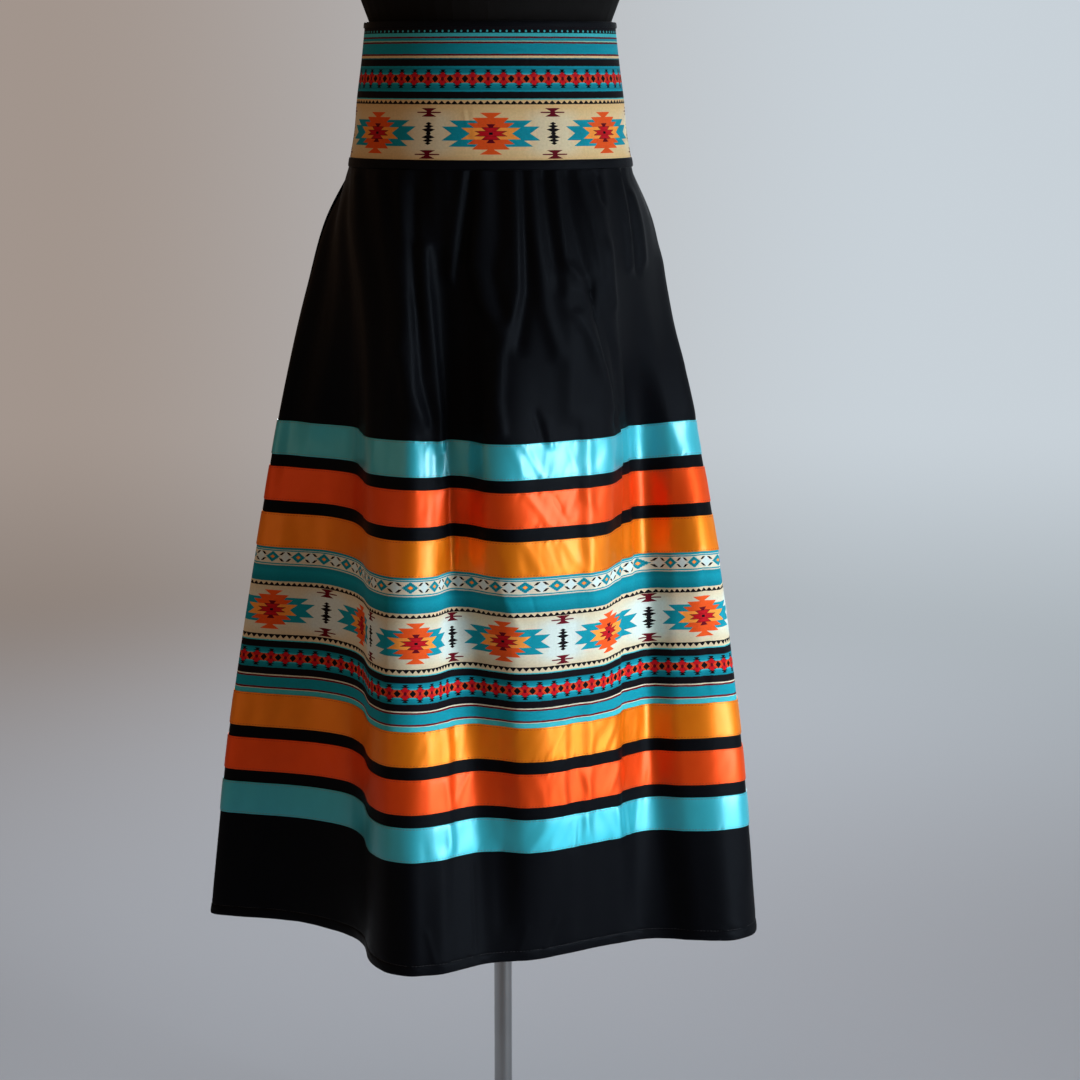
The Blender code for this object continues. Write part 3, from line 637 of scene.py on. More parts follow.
# ----------------------------------------------------------- materials
def srgb(r, g, b):
    def lin(c):
        c /= 255.0
        return c / 12.92 if c <= 0.04045 else ((c + 0.055) / 1.055) ** 2.4
    return (lin(r), lin(g), lin(b), 1.0)


class Tree:
    """Short names for the nodes of one material."""

    def __init__(self, name):
        self.mat = bpy.data.materials.new(name)
        self.mat.use_nodes = True
        self.t = self.mat.node_tree
        self.shader = self.t.nodes["Principled BSDF"]

    def put(self, socket, value):
        if isinstance(value, bpy.types.NodeSocket):
            self.t.links.new(value, socket)
        else:
            socket.default_value = value

    def math(self, op, a, b=None, c=None, clamp=False):
        n = self.t.nodes.new("ShaderNodeMath")
        n.operation = op
        n.use_clamp = clamp
        for i, x in enumerate((a, b, c)):
            if x is not None:
                self.put(n.inputs[i], x)
        return n.outputs[0]

    def mix(self, f, a, b):
        n = self.t.nodes.new("ShaderNodeMix")
        n.data_type = "RGBA"
        self.put(n.inputs["Factor"], f)
        ins = [i for i in n.inputs if i.type == "RGBA"]
        self.put(ins[0], a)
        self.put(ins[1], b)
        return [o for o in n.outputs if o.type == "RGBA"][0]

    def uv(self):
        n = self.t.nodes.new("ShaderNodeUVMap")
        n.uv_map = "cloth"
        s = self.t.nodes.new("ShaderNodeSeparateXYZ")
        self.t.links.new(n.outputs[0], s.inputs[0])
        return n.outputs[0], s.outputs[0], s.outputs[1]

    def noise(self, vector, scale, detail=2.0, rough=0.5, stretch=None):
        if stretch is not None:
            m = self.t.nodes.new("ShaderNodeMapping")
            self.t.links.new(vector, m.inputs[0])
            m.inputs["Scale"].default_value = stretch
            vector = m.outputs[0]
        n = self.t.nodes.new("ShaderNodeTexNoise")
        self.t.links.new(vector, n.inputs["Vector"])
        n.inputs["Scale"].default_value = scale
        n.inputs["Detail"].default_value = detail
        n.inputs["Roughness"].default_value = rough
        return n.outputs[0]

    def curve(self, x, points):
        n = self.t.nodes.new("ShaderNodeFloatCurve")
        c = n.mapping.curves[0]
        pts = sorted(points)
        c.points[0].location = pts[0]
        c.points[-1].location = pts[-1]
        for p in pts[1:-1]:
            c.points.new(*p)
        for p in c.points:
            p.handle_type = "VECTOR"
        n.mapping.use_clip = True
        n.mapping.update()
        self.put(n.inputs["Value"], x)
        return n.outputs[0]

    def ramp(self, x, stops):
        n = self.t.nodes.new("ShaderNodeValToRGB")
        r = n.color_ramp
        r.interpolation = "CONSTANT"
        r.elements[0].position = stops[0][0]
        r.elements[0].color = stops[0][1]
        r.elements[1].position = stops[1][0]
        r.elements[1].color = stops[1][1]
        for pos, col in stops[2:]:
            e = r.elements.new(pos)
            e.color = col
        self.put(n.inputs[0], x)
        return n.outputs[0]

    def bump(self, height, strength, distance, normal=None):
        n = self.t.nodes.new("ShaderNodeBump")
        n.inputs["Strength"].default_value = strength
        n.inputs["Distance"].default_value = distance
        self.t.links.new(height, n.inputs["Height"])
        if normal is not None:
            self.t.links.new(normal, n.inputs["Normal"])
        return n.outputs[0]

    def set(self, **values):
        for key, value in values.items():
            self.put(self.shader.inputs[key.replace("_", " ")], value)


def weave(t, u, v, pitch):
    """Height of a plain weave of threads, 0 to 1."""
    k = 2.0 * math.pi / pitch
    a = t.math("SINE", t.math("MULTIPLY", u, k))
    b = t.math("SINE", t.math("MULTIPLY", v, k))
    half = 0.5 * k
    c = t.math("SINE", t.math("MULTIPLY", t.math("ADD", u, v), half))
    return t.math("MULTIPLY_ADD", t.math("MULTIPLY", a, b), 0.35,
                  t.math("MULTIPLY_ADD", c, 0.15, 0.5))


def black_cotton(name, tint=1.0):
    t = Tree(name)
    vec, u, v = t.uv()
    slub = t.noise(vec, 900.0, 2.0, 0.6, (1.0, 0.35, 1.0))
    lint = t.noise(vec, 60.0, 3.0, 0.6)
    dark = tuple(c * tint for c in (0.0017, 0.0019, 0.0027)) + (1.0,)
    light = tuple(c * tint for c in (0.0036, 0.0041, 0.0059)) + (1.0,)
    t.set(Base_Color=t.mix(t.math("MULTIPLY_ADD", slub, 0.7,
                                  t.math("MULTIPLY", lint, 0.3)), dark, light))
    t.set(Roughness=0.50)
    t.shader.inputs["Specular IOR Level"].default_value = 0.040
    t.shader.inputs["Sheen Weight"].default_value = 0.004
    t.shader.inputs["Sheen Roughness"].default_value = 0.35
    t.shader.inputs["Sheen Tint"].default_value = (0.62, 0.72, 0.90, 1.0)
    t.shader.inputs["Specular Tint"].default_value = (0.70, 0.83, 1.0, 1.0)
    n1 = t.bump(weave(t, u, v, 0.0007), 0.25, 0.00025)
    n2 = t.bump(slub, 0.30, 0.0003, n1)
    t.set(Normal=n2)
    return t.mat


def tiers(rows, reach, full):
    """Curve points of a serrated shape from (y_out, w_out, w_in, y_in) rows.

    Half width against distance from the middle, as shares of full and reach.
    """
    pts = []
    step = 0.0015
    rows = sorted(rows, key=lambda r: r[3])
    last = 0.0
    for y_out, w_out, w_in, y_in in rows:
        a, b = y_in / reach, y_out / reach
        if a > last + 2 * step:
            pts += [(last + step, 0.0), (a - step, 0.0)]
        pts += [(max(a, last + step * 1.01), w_in / full), (b, w_out / full)]
        last = b
    pts += [(last + step, 0.0), (1.0, 0.0)]
    clean = []
    for x, y in sorted(pts):
        if clean and x - clean[-1][0] < 1e-4:
            x = clean[-1][0] + 2e-4
        if x <= 1.0:
            clean.append((x, y))
    return clean


# The motifs, charted (mm from the middle of each):
# (y_out, w_out, w_in, y_in) is a tier with straight slanting sides.
STAR_TEAL = ((13.6, 44.0, 34.5, 7.3), (7.3, 52.0, 41.5, 0.0))
STAR_ORANGE = ((21.6, 11.6, 3.0, 16.4), (16.4, 19.4, 13.4, 10.95), (10.95, 24.6, 17.2, 6.05))
STAR_LIGHT = ((6.05, 31.0, 22.0, 0.0),)
STAR_MAROON = ((9.8, 4.9, 1.9, 6.5), (6.5, 10.2, 5.6, 2.8), (2.8, 17.6, 11.6, 0.0))
STAR_RED = ((5.9, 8.4, 5.2, 2.8), (2.4, 15.4, 10.6, 0.0))
TREE = ((11.8, 0.4, 3.4, 10.3), (10.3, 3.4, 0.9, 8.9), (8.9, 0.9, 5.9, 7.6), (7.6, 5.9, 1.3, 5.6),
        (5.6, 1.3, 7.6, 4.1), (4.1, 7.6, 1.7, 1.5), (1.5, 1.7, 3.0, 0.0))
GLASS = ((4.4, 8.9, 2.7, 1.3), (1.3, 2.7, 2.6, 0.65), (0.65, 13.6, 13.6, 0.0))
CHAIN_FIGURE = ((7.4, 4.9, 1.9, 5.7), (5.7, 1.9, 5.6, 4.0))
CHAIN_TIP = ((9.6, 3.4, 1.2, 7.4),)
CHAIN_CORE = ((6.4, 1.5, 3.2, 4.0),)

P_STAR = 0.1334
P_SAW = P_STAR / 19.0
P_CHAIN = P_STAR / 8.0
P_DIAMOND = P_STAR / 4.0

TEAL = srgb(18, 146, 168)
TEAL_LIGHT = srgb(66, 186, 200)
TEAL_DEEP = srgb(8, 104, 122)
CREAM = srgb(216, 214, 194)
CREAM_WHITE = srgb(208, 228, 230)
CREAM_TAN = srgb(214, 196, 158)
# the waistband's creams are warmer than the skirt's: painted warm shade
BAND_CREAMS_WARM_SHADE = (srgb(228, 202, 154), srgb(224, 214, 184), srgb(220, 182, 126))
ORANGE = srgb(232, 88, 34)
ORANGE_LIGHT = srgb(248, 158, 68)
MAROON = srgb(98, 10, 28)
RED = srgb(190, 22, 34)
PALE_GREEN = srgb(150, 196, 178)
INK = srgb(16, 14, 20)


def printed_cotton(name, kind):
    """The printed cotton. kind says which strip of it: skirt or band."""
    t = Tree(name)
    vec, u, v = t.uv()
    M = t.math
    soft = t.noise(vec, 420.0, 2.0, 0.6)
    wob = M("MULTIPLY_ADD", M("SUBTRACT", t.noise(vec, 260.0, 1.0), 0.5), 0.00055, v)

    def repeat(period, shift):
        """Signed distance (mm) from the middle of the nearest repeat."""
        f = M("FRACT", M("ADD", M("MULTIPLY_ADD", u, 1.0 / period, -shift / period), 0.5))
        return M("MULTIPLY", M("SUBTRACT", f, 0.5), period * 1000.0)

    def mm(centre):
        return M("MULTIPLY", M("SUBTRACT", v, centre * 0.001), 1000.0)

    def shape(x_abs, y_abs, rows, reach, full):
        w = t.curve(M("MULTIPLY", y_abs, 1.0 / reach), tiers(rows, reach, full))
        return M("LESS_THAN", x_abs, M("MULTIPLY", w, full))

    def both(*xs):
        out = xs[0]
        for x in xs[1:]:
            out = M("MULTIPLY", out, x)
        return out

    if kind == "skirt":
        length = 163.0
        stops = ((0, TEAL), (2.0, CREAM), (3.0, TEAL), (4.1, CREAM), (17.3, TEAL),
                 (18.5, CREAM), (19.8, TEAL), (37.7, CREAM), (102.9, TEAL_LIGHT),
                 (104.1, INK), (111.5, TEAL), (134.2, INK), (141.4, CREAM),
                 (143.0, MAROON), (144.8, TEAL), (155.4, MAROON), (157.3, CREAM),
                 (158.5, TEAL_LIGHT))
        star_y, chain_y, saw = 69.6, 122.9, ((39.3, 43.1, True), (97.0, 101.3, False))
        shift = {"star": 0.0, "chain": -0.0029, "diamond": -0.0068}
        diamond_y = 10.7
        zone = (38.0, 103.0)
        glass = 21.6
        creams = (CREAM, CREAM_WHITE, CREAM_TAN)
        value_with_painted_shade = 1.0
    else:
        length = 153.0
        # painted shade: the waistband's creams are warmer and its whole print darker (0.86) than the skirt's
        creams = BAND_CREAMS_WARM_SHADE
        value_with_painted_shade = 0.86
        stops = ((0, INK), (11.2, TEAL_LIGHT), (14.5, MAROON), (16.2, TEAL), (18.6, PALE_GREEN),
                 (20.0, MAROON), (22.0, TEAL), (32.6, MAROON), (34.5, creams[0]), (37.0, TEAL_DEEP),
                 (37.7, INK), (44.9, TEAL), (71.6, INK), (78.8, TEAL_LIGHT), (79.7, creams[0]))
        star_y, chain_y, saw = 115.0, 58.4, ((81.2, 84.9, True),)
        shift = {"star": 0.0, "chain": 0.0056, "diamond": 0.0}
        diamond_y = None
        zone = (80.0, 150.0)
        glass = 21.8

    y_mm = M("MULTIPLY", wob, 1000.0)
    colour = t.ramp(M("MULTIPLY", y_mm, 1.0 / length),
                    [(max(a, 0.0) / length, c) for a, c in stops])

    # the ground between the saw edges: warm at its edges, pale in its middle
    x_tree = repeat(P_STAR, shift["star"] + P_STAR / 2)
    ax_tree = M("ABSOLUTE", x_tree)
    x_star = repeat(P_STAR, shift["star"])
    ax_star = M("ABSOLUTE", x_star)
    y_star = mm(star_y)
    ay_star = M("ABSOLUTE", y_star)
    in_zone = both(M("GREATER_THAN", y_mm, zone[0]), M("LESS_THAN", y_mm, zone[1]))
    pale = both(M("SMOOTH_MIN", M("MULTIPLY", M("SUBTRACT", 27.0, ay_star), 1 / 12.0, clamp=True),
                  1.0, 0.2),
                M("MULTIPLY", M("SUBTRACT", 34.0, ax_tree), 1 / 18.0, clamp=True))
    edge = M("MULTIPLY", M("SUBTRACT", ay_star, 17.0), 1 / 12.0, clamp=True)
    ground = t.mix(M("MULTIPLY", pale, 0.85),
                   t.mix(M("MULTIPLY", edge, 0.75), creams[0], creams[2]), creams[1])
    colour = t.mix(in_zone, colour, ground)

    for low, high, up in saw:
        f = M("FRACT", M("MULTIPLY", u, 1.0 / P_SAW))
        # 0 at the apex, which is a little blunt
        tri = M("MULTIPLY_ADD", M("ABSOLUTE", M("MULTIPLY_ADD", f, 2.0, -1.0)), 1.12, -0.12,
                clamp=True)
        height = high - low - 0.9
        if up:
            line = M("MULTIPLY_ADD", tri, height, low)
            inside = both(M("GREATER_THAN", y_mm, line), M("LESS_THAN", y_mm, high))
        else:
            line = M("MULTIPLY_ADD", tri, -height, high)
            inside = both(M("LESS_THAN", y_mm, line), M("GREATER_THAN", y_mm, low))
        colour = t.mix(inside, colour, INK)

    # serrated star, drawn from the outside in
    for rows, col in ((STAR_TEAL, TEAL), (STAR_ORANGE, ORANGE), (STAR_LIGHT, ORANGE_LIGHT),
                      (STAR_MAROON, MAROON), (STAR_RED, RED)):
        colour = t.mix(shape(ax_star, ay_star, rows, 24.0, 60.0), colour, col)
    colour = t.mix(both(M("LESS_THAN", ax_star, 2.0), M("LESS_THAN", ay_star, 1.3)), colour, INK)

    # black figure between the stars, with a bar and two wedges over and under it
    colour = t.mix(shape(ax_tree, ay_star, TREE, 24.0, 60.0), colour, INK)
    ay_glass = M("ABSOLUTE", M("SUBTRACT", ay_star, glass))
    colour = t.mix(both(shape(ax_tree, ay_glass, GLASS, 24.0, 60.0),
                        M("LESS_THAN", ay_glass, 5.0)), colour, MAROON)

    # chain of black diamonds on a red band, with figures that stand out of it
    x_ch = repeat(P_CHAIN, shift["chain"])
    ax_ch = M("ABSOLUTE", x_ch)
    x_fig = repeat(P_CHAIN, shift["chain"] + P_CHAIN / 2)
    ax_fig = M("ABSOLUTE", x_fig)
    ay_ch = M("ABSOLUTE", mm(chain_y))
    by_ink = M("MULTIPLY", M("SUBTRACT", ay_ch, 5.5), 1 / 8.0, clamp=True)
    in_chain = M("LESS_THAN", ay_ch, 11.35)
    colour = t.mix(both(in_chain, M("MULTIPLY", by_ink, 0.8)), colour, TEAL_DEEP)
    glow = both(M("LESS_THAN", ay_ch, 5.6),
                M("LESS_THAN", M("MULTIPLY_ADD", ay_ch, 0.9, M("MULTIPLY", ax_ch, 0.6)), 7.4))
    colour = t.mix(M("MULTIPLY", glow, 0.6), colour, TEAL_LIGHT)
    colour = t.mix(shape(ax_fig, ay_ch, CHAIN_FIGURE, 24.0, 60.0), colour, INK)
    colour = t.mix(shape(ax_fig, ay_ch, CHAIN_TIP, 24.0, 60.0), colour, INK)
    colour = t.mix(shape(ax_fig, ay_ch, CHAIN_CORE, 24.0, 60.0), colour, RED)
    band = M("LESS_THAN", ay_ch, 4.1)
    colour = t.mix(band, colour, RED)
    core = M("MULTIPLY_ADD", ax_fig, 1.0, M("MULTIPLY", ay_ch, 1.1))
    colour = t.mix(both(band, M("LESS_THAN", core, 2.6)), colour, MAROON)
    dia = M("ADD", ax_ch, M("MULTIPLY", ay_ch, 0.95))
    for reach, col in ((6.8, ORANGE), (6.0, RED), (5.0, ORANGE), (3.95, INK)):
        colour = t.mix(both(band, M("LESS_THAN", dia, reach)), colour, col)

    if diamond_y is not None:
        # diamonds and broken hexagons in the narrow border
        x_d = M("ABSOLUTE", repeat(P_DIAMOND, shift["diamond"]))
        x_h = M("ABSOLUTE", repeat(P_DIAMOND, shift["diamond"] + P_DIAMOND / 2))
        y_d = M("ABSOLUTE", mm(diamond_y))
        t_hex = M("MULTIPLY", M("SUBTRACT", 8.6, M("ADD", x_h, y_d)), 1 / 4.0, clamp=True)
        in_border = both(M("GREATER_THAN", y_mm, 4.1), M("LESS_THAN", y_mm, 17.3))
        colour = t.mix(both(in_border, t_hex), colour, CREAM_WHITE)
        # the diamonds' edges go in small steps
        step = M("MULTIPLY", M("ROUND", M("MULTIPLY", y_d, 1 / 1.25)), 1.25)
        y_s = M("MULTIPLY_ADD", y_d, 0.35, M("MULTIPLY", step, 0.65))
        for wide, high, col in ((9.2, 6.3, TEAL), (7.2, 4.9, TEAL_DEEP), (6.1, 4.1, TEAL),
                                (3.6, 2.4, TEAL_DEEP), (3.0, 2.0, ORANGE_LIGHT)):
            d = M("MULTIPLY_ADD", x_d, 1 / wide, M("MULTIPLY", y_s if wide > 8 else y_d, 1 / high))
            colour = t.mix(M("LESS_THAN", d, 1.0), colour, col)
        along_dash = M("ABSOLUTE", M("SUBTRACT", x_h, 4.5))
        line = M("MULTIPLY_ADD", x_h, -0.50, 5.75)
        thick = M("MULTIPLY_ADD", along_dash, -0.40, 1.50)
        dash = both(M("LESS_THAN", M("ABSOLUTE", M("SUBTRACT", y_d, line)), thick),
                    M("LESS_THAN", along_dash, 3.3))
        colour = t.mix(dash, colour, INK)
        # the wide teal band darkens towards its foot
        in_teal = both(M("GREATER_THAN", y_mm, 19.8), M("LESS_THAN", y_mm, 37.6))
        low_teal = M("MULTIPLY", M("ABSOLUTE", M("SUBTRACT", y_mm, 26.5)), 1 / 13.0, clamp=True)
        colour = t.mix(both(in_teal, M("MULTIPLY", low_teal, 0.75)), colour, TEAL_DEEP)
    else:
        # row of turquoise dots on the black at the waist edge
        f = M("MULTIPLY", M("SUBTRACT", M("FRACT", M("MULTIPLY", u, 1 / 0.0073)), 0.5), 7.3)
        yy = mm(9.4)
        r2 = M("ADD", M("MULTIPLY", f, f), M("MULTIPLY", yy, yy))
        colour = t.mix(M("LESS_THAN", r2, 1.35), colour, TEAL_LIGHT)

    # dye that takes unevenly, threads that show through it, and on the waistband painted shade that darkens the whole
    # print
    thread = weave(t, u, v, 0.0009)
    dye_and_painted_shade = M("MULTIPLY_ADD", M("SUBTRACT", soft, 0.5), 0.30,
             M("MULTIPLY_ADD", M("SUBTRACT", thread, 0.5), 0.12, value_with_painted_shade))
    hsv = t.t.nodes.new("ShaderNodeHueSaturation")
    t.put(hsv.inputs["Color"], colour)
    t.put(hsv.inputs["Value"], dye_and_painted_shade)
    t.set(Base_Color=hsv.outputs[0])
    t.set(Roughness=0.72)
    t.shader.inputs["Specular IOR Level"].default_value = 0.06
    t.shader.inputs["Sheen Weight"].default_value = 0.004
    t.shader.inputs["Sheen Roughness"].default_value = 0.5
    n1 = t.bump(thread, 0.30, 0.0003)
    t.set(Normal=t.bump(soft, 0.25, 0.0004, n1))
    return t.mat


def satin_cloth(name, base, deep, coat, metallic, tint, level):
    t = Tree(name)
    vec, u, v = t.uv()
    # long warp floats run along the ribbon; tone drifts slowly over it
    float_ = t.noise(vec, 1400.0, 2.0, 0.6, (0.10, 1.0, 1.0))
    drift = t.noise(vec, 55.0, 2.0, 0.5)
    f = t.math("MULTIPLY_ADD", float_, 0.35, t.math("MULTIPLY", drift, 0.65))
    t.set(Base_Color=t.mix(f, deep, base))
    t.set(Roughness=t.math("MULTIPLY_ADD", float_, 0.06, 0.52))
    s = t.shader.inputs
    s["Metallic"].default_value = metallic
    s["Specular IOR Level"].default_value = level
    s["Specular Tint"].default_value = tint
    s["Anisotropic"].default_value = 0.65
    s["Anisotropic Rotation"].default_value = 0.25
    s["Coat Weight"].default_value = coat
    s["Coat Roughness"].default_value = 0.28
    s["Coat IOR"].default_value = 1.5
    s["Sheen Weight"].default_value = 0.01
    s["Sheen Roughness"].default_value = 0.35
    tan = t.t.nodes.new("ShaderNodeTangent")
    tan.direction_type = "UV_MAP"
    tan.uv_map = "cloth"
    t.t.links.new(tan.outputs[0], s["Tangent"])
    h = t.math("SINE", t.math("MULTIPLY", v, 2 * math.pi / 0.0009))
    n1 = t.bump(h, 0.05, 0.00008)
    t.set(Normal=t.bump(float_, 0.05, 0.00012, n1))
    return t.mat


def thread(name, colour):
    t = Tree(name)
    co = t.t.nodes.new("ShaderNodeTexCoord")
    n = t.noise(co.outputs["Object"], 2500.0, 1.0)
    t.set(Base_Color=t.mix(n, tuple(c * 0.6 for c in colour[:3]) + (1,), colour))
    t.set(Roughness=0.6, Normal=t.bump(n, 0.4, 0.0002))
    return t.mat


BLACK = black_cotton("black_cotton_cloth")
BINDING = black_cotton("black_binding_cloth", 1.25)
PRINT_SKIRT = printed_cotton("printed_cotton_tier", "skirt")
PRINT_BAND = printed_cotton("printed_cotton_waistband", "band")
TURQUOISE = satin_cloth("turquoise_satin_weave", (0.038, 0.52, 0.66, 1), (0.026, 0.43, 0.55, 1),
                         0.85, 0.40, (1.0, 1.0, 1.0, 1), 0.20)
RED_ORANGE = satin_cloth("orange_satin_weave", (0.92, 0.095, 0.010, 1), (0.82, 0.060, 0.005, 1),
                          0.14, 0.54, (1.0, 0.66, 0.26, 1), 0.60)
GOLD = satin_cloth("yellow_orange_satin_weave", (0.97, 0.28, 0.008, 1), (0.88, 0.20, 0.003, 1),
                    0.22, 0.54, (1.0, 0.80, 0.40, 1), 0.60)
T_BLACK = thread("black_thread", srgb(34, 34, 40))
T_ROSE = thread("rose_grey_thread", srgb(140, 112, 112))
T_RED = thread("red_thread", srgb(190, 44, 18))
SATINS = (TURQUOISE, RED_ORANGE, GOLD, GOLD, RED_ORANGE, TURQUOISE)
THREADS = (T_ROSE, T_RED, T_RED, T_RED, T_RED, T_ROSE)

# ------------------------------------------------------- places of the print
# Where the middles of the stars and of the figures between them fall on the
# front: (s, repeats of the print). The rest follows from the cloth's length.
STARS = ((1.12, 0.0), (3.12, 0.5), (5.00, 1.0), (5.95, 1.5), (8.38, 2.0),
         (11.00, 2.5), (13.50, 3.0), (15.56, 3.5), (17.38, 4.0), (20.00, 4.5),
         (21.88, 5.0))
PRINT_ARC = arc_table(skirt_curve, 0.647)


def print_u(s):
    """Distance along the printed cotton (m), 0 at the left-most star."""
    a = np.interp(s, S_RING, PRINT_ARC)
    ka = np.interp([p[0] for p in STARS], S_RING, PRINT_ARC)
    ku = np.array([p[1] for p in STARS]) * P_STAR
    # ends of the table go on with the cloth's own length
    ka = np.concatenate([[ka[0] - 1.0], ka, [ka[-1] + 3.0]])
    ku = np.concatenate([[ku[0] - 1.0], ku, [ku[-1] + 3.0]])
    h = np.diff(ka)
    d = np.diff(ku) / h
    m = np.zeros(len(ka))
    m[1:-1] = 2 * d[:-1] * d[1:] / (d[:-1] + d[1:])
    m[0], m[-1] = d[0], d[-1]
    i = np.clip(np.searchsorted(ka, a) - 1, 0, len(h) - 1)
    t = (a - ka[i]) / h[i]
    t2, t3 = t * t, t * t * t
    return (ku[i] * (2 * t3 - 3 * t2 + 1) + m[i] * h[i] * (t3 - 2 * t2 + t)
            + ku[i + 1] * (3 * t2 - 2 * t3) + m[i + 1] * h[i] * (t3 - t2))


# ------------------------------------------------------------- the pieces
SIDES = (("front", 0, N_FRONT), ("back", N_FRONT, N_LINES))


def spread(v0, v1, step, fine_ends=()):
    """Rows from v0 to v1 about step apart, with extra rows near the ends."""
    n = max(1, int(round((v1 - v0) / step)))
    rows = list(np.linspace(v0, v1, n + 1))
    for e in fine_ends:
        rows += [v0 + e, v1 - e]
    return sorted(set(round(r, 6) for r in rows))


def panel(node, side, first, last, v0, v1, step, k, mats, zero_u, hem=False):
    s = columns(first, last, k)
    rows = spread(v0, v1, step)
    if hem:
        rows = sorted(set([r for r in rows if r < v1 - HEM_DEPTH - 0.004]
                          + [round(v1 - x, 6) for x in
                             (HEM_DEPTH + 0.0035, HEM_DEPTH + 0.002, HEM_DEPTH + 0.0012,
                              HEM_DEPTH + 0.0005, HEM_DEPTH, HEM_DEPTH - 0.0006,
                              HEM_DEPTH - 0.0015, HEM_DEPTH - 0.003, 0.006, 0.0035,
                              0.0018, 0.0009, 0.0003, 0.0)]))
    u = arc_at(0.5 * (v0 + v1), s) if zero_u is None else zero_u(s)
    fu = arc_at(SKIRT_LENGTH, s) * 1000.0

    def out_height(i, v, ss):
        h = uneven(v, ss)
        under = [r for r in RIBBONS if r[0] + 0.003 < v < r[1] - 0.003]
        if under:
            h = h - 0.0003
        if hem:
            up = SKIRT_LENGTH - v
            if up < HEM_DEPTH + 0.004:
                # turned hem: drawn in at its stitches, full below them
                line = (up - HEM_DEPTH - 0.0004) / 0.0011
                h = h - 0.00045 * math.exp(-line * line) \
                    * (1.0 + 0.35 * noise1(fu / 3.2, 201))
                if up < HEM_DEPTH:
                    t = up / HEM_DEPTH
                    h = h + 0.00055 * (4 * t * (1 - t)) ** 0.5 \
                        + 0.00022 * noise1(fu / 5.0 - up * 400.0, 203) * min(1.0, up / 0.003)
                if up < 0.0018:
                    h = h - 0.0007 * (1 - up / 0.0018) ** 2
            if up < 0.040:
                drag = math.exp(-((up - HEM_DEPTH) / 0.010) ** 2)
                h = h + 0.00032 * drag * noise1(fu / 6.5 + up * 260.0, 205)
        return h

    def in_height(i, v, ss):
        thick = CLOTH_T * 0.75
        if hem and SKIRT_LENGTH - v < HEM_DEPTH:
            up = SKIRT_LENGTH - v
            thick = CLOTH_T * 1.7
            if up < 0.0018:
                thick = thick - 0.0009 * (1 - up / 0.0018) ** 2
        return out_height(i, v, ss) - thick

    def low_edge(i, v, ss):
        # the hem's edge waves a little
        if not hem:
            return -sag(v, ss)
        t = np.clip((v - (SKIRT_LENGTH - 0.02)) / 0.02, 0, 1)
        return 0.0011 * t * noise1(fu / 60.0, 207) + 0.0004 * t * noise1(fu / 19.0, 208) \
            - sag(v, ss)

    outer = layer(skirt_curve, rows, s, out_height, low_edge)
    inner = layer(skirt_curve, rows, s, in_height, low_edge)
    obj = wall(node + "_" + side + "_cloth", outer, inner, u, [r for r in rows], mats)
    ride(obj, [node + "_" + side])
    width = float(arc_at(0.5 * (v0 + v1), np.array([float(first), float(last)])) @ [-1, 1])
    return obj, width


def ribbon(number, side, first, last, k):
    top, foot = RIBBONS[number - 1]
    s = columns(first, last, k)
    ends = (0.0002, 0.0006, 0.0012, 0.0019)
    rows = spread(top, foot, 0.0021, ends)

    def out_height(i, v, ss):
        edge = min(v - top, foot - v)
        h = uneven(v, ss) + 0.0009 + satin(number, v, ss)
        if edge < 0.0006:
            h = h - 0.00030 * (1 - edge / 0.0006) ** 2
        line = (edge - 0.0017) / 0.0009
        return h - 0.00013 * math.exp(-line * line)

    def in_height(i, v, ss):
        return uneven(v, ss) + 0.0001

    u = arc_at(0.5 * (top + foot), s)
    outer = layer(skirt_curve, rows, s, out_height, lambda i, v, ss: -sag(v, ss))
    inner = layer(skirt_curve, rows, s, in_height, lambda i, v, ss: -sag(v, ss))
    obj = wall("ribbon_%d_%s_satin" % (number, side), outer, inner, u,
               [r - top for r in rows], [SATINS[number - 1]])
    ride(obj, ["ribbon_%d_%s" % (number, side)])
    return obj, float(u[-1] - u[0])


def stitches(name, runs, mat, length=0.0024, gap=0.0012, radius=0.00022):
    """Machine stitches as short flat bars along runs of points.

    runs is a list of (points, normals), both arrays along the seam.
    """
    verts, faces = [], []
    for pts, nrm in runs:
        seg = np.linalg.norm(np.diff(pts, axis=0), axis=1)
        far = np.concatenate([[0.0], np.cumsum(seg)])
        count = int(far[-1] / (length + gap))
        for j in range(count):
            d0 = (j + 0.5) * far[-1] / count
            stations = []
            for x in (-0.5, -0.25, 0.25, 0.5):
                d = d0 + x * length
                p = np.array([np.interp(d, far, pts[:, c]) for c in range(3)])
                n = np.array([np.interp(d, far, nrm[:, c]) for c in range(3)])
                n /= np.linalg.norm(n)
                sink = -0.9 if abs(x) > 0.4 else 0.25
                stations.append((p + n * radius * sink, n))
            axis = stations[-1][0] - stations[0][0]
            axis /= np.linalg.norm(axis)
            base = len(verts)
            for p, n in stations:
                side = np.cross(axis, n)
                side /= np.linalg.norm(side)
                for a in (0, 1, 2, 3):
                    ang = math.pi / 4 + a * math.pi / 2
                    verts.append(p + side * math.cos(ang) * radius * 1.25
                                 + n * math.sin(ang) * radius)
            for r in range(3):
                for a in range(4):
                    b = (a + 1) % 4
                    q = base + r * 4
                    faces.append((q + a, q + 4 + a, q + 4 + b, q + b))
            faces.append((base, base + 1, base + 2, base + 3))
            q = base + 12
            faces.append((q + 3, q + 2, q + 1, q))
    mesh = bpy.data.meshes.new(name)
    mesh.from_pydata([tuple(map(float, p)) for p in verts], [], faces)
    mesh.materials.append(mat)
    mesh.shade_smooth()
    obj = bpy.data.objects.new(name, mesh)
    bpy.context.scene.collection.objects.link(obj)
    return obj


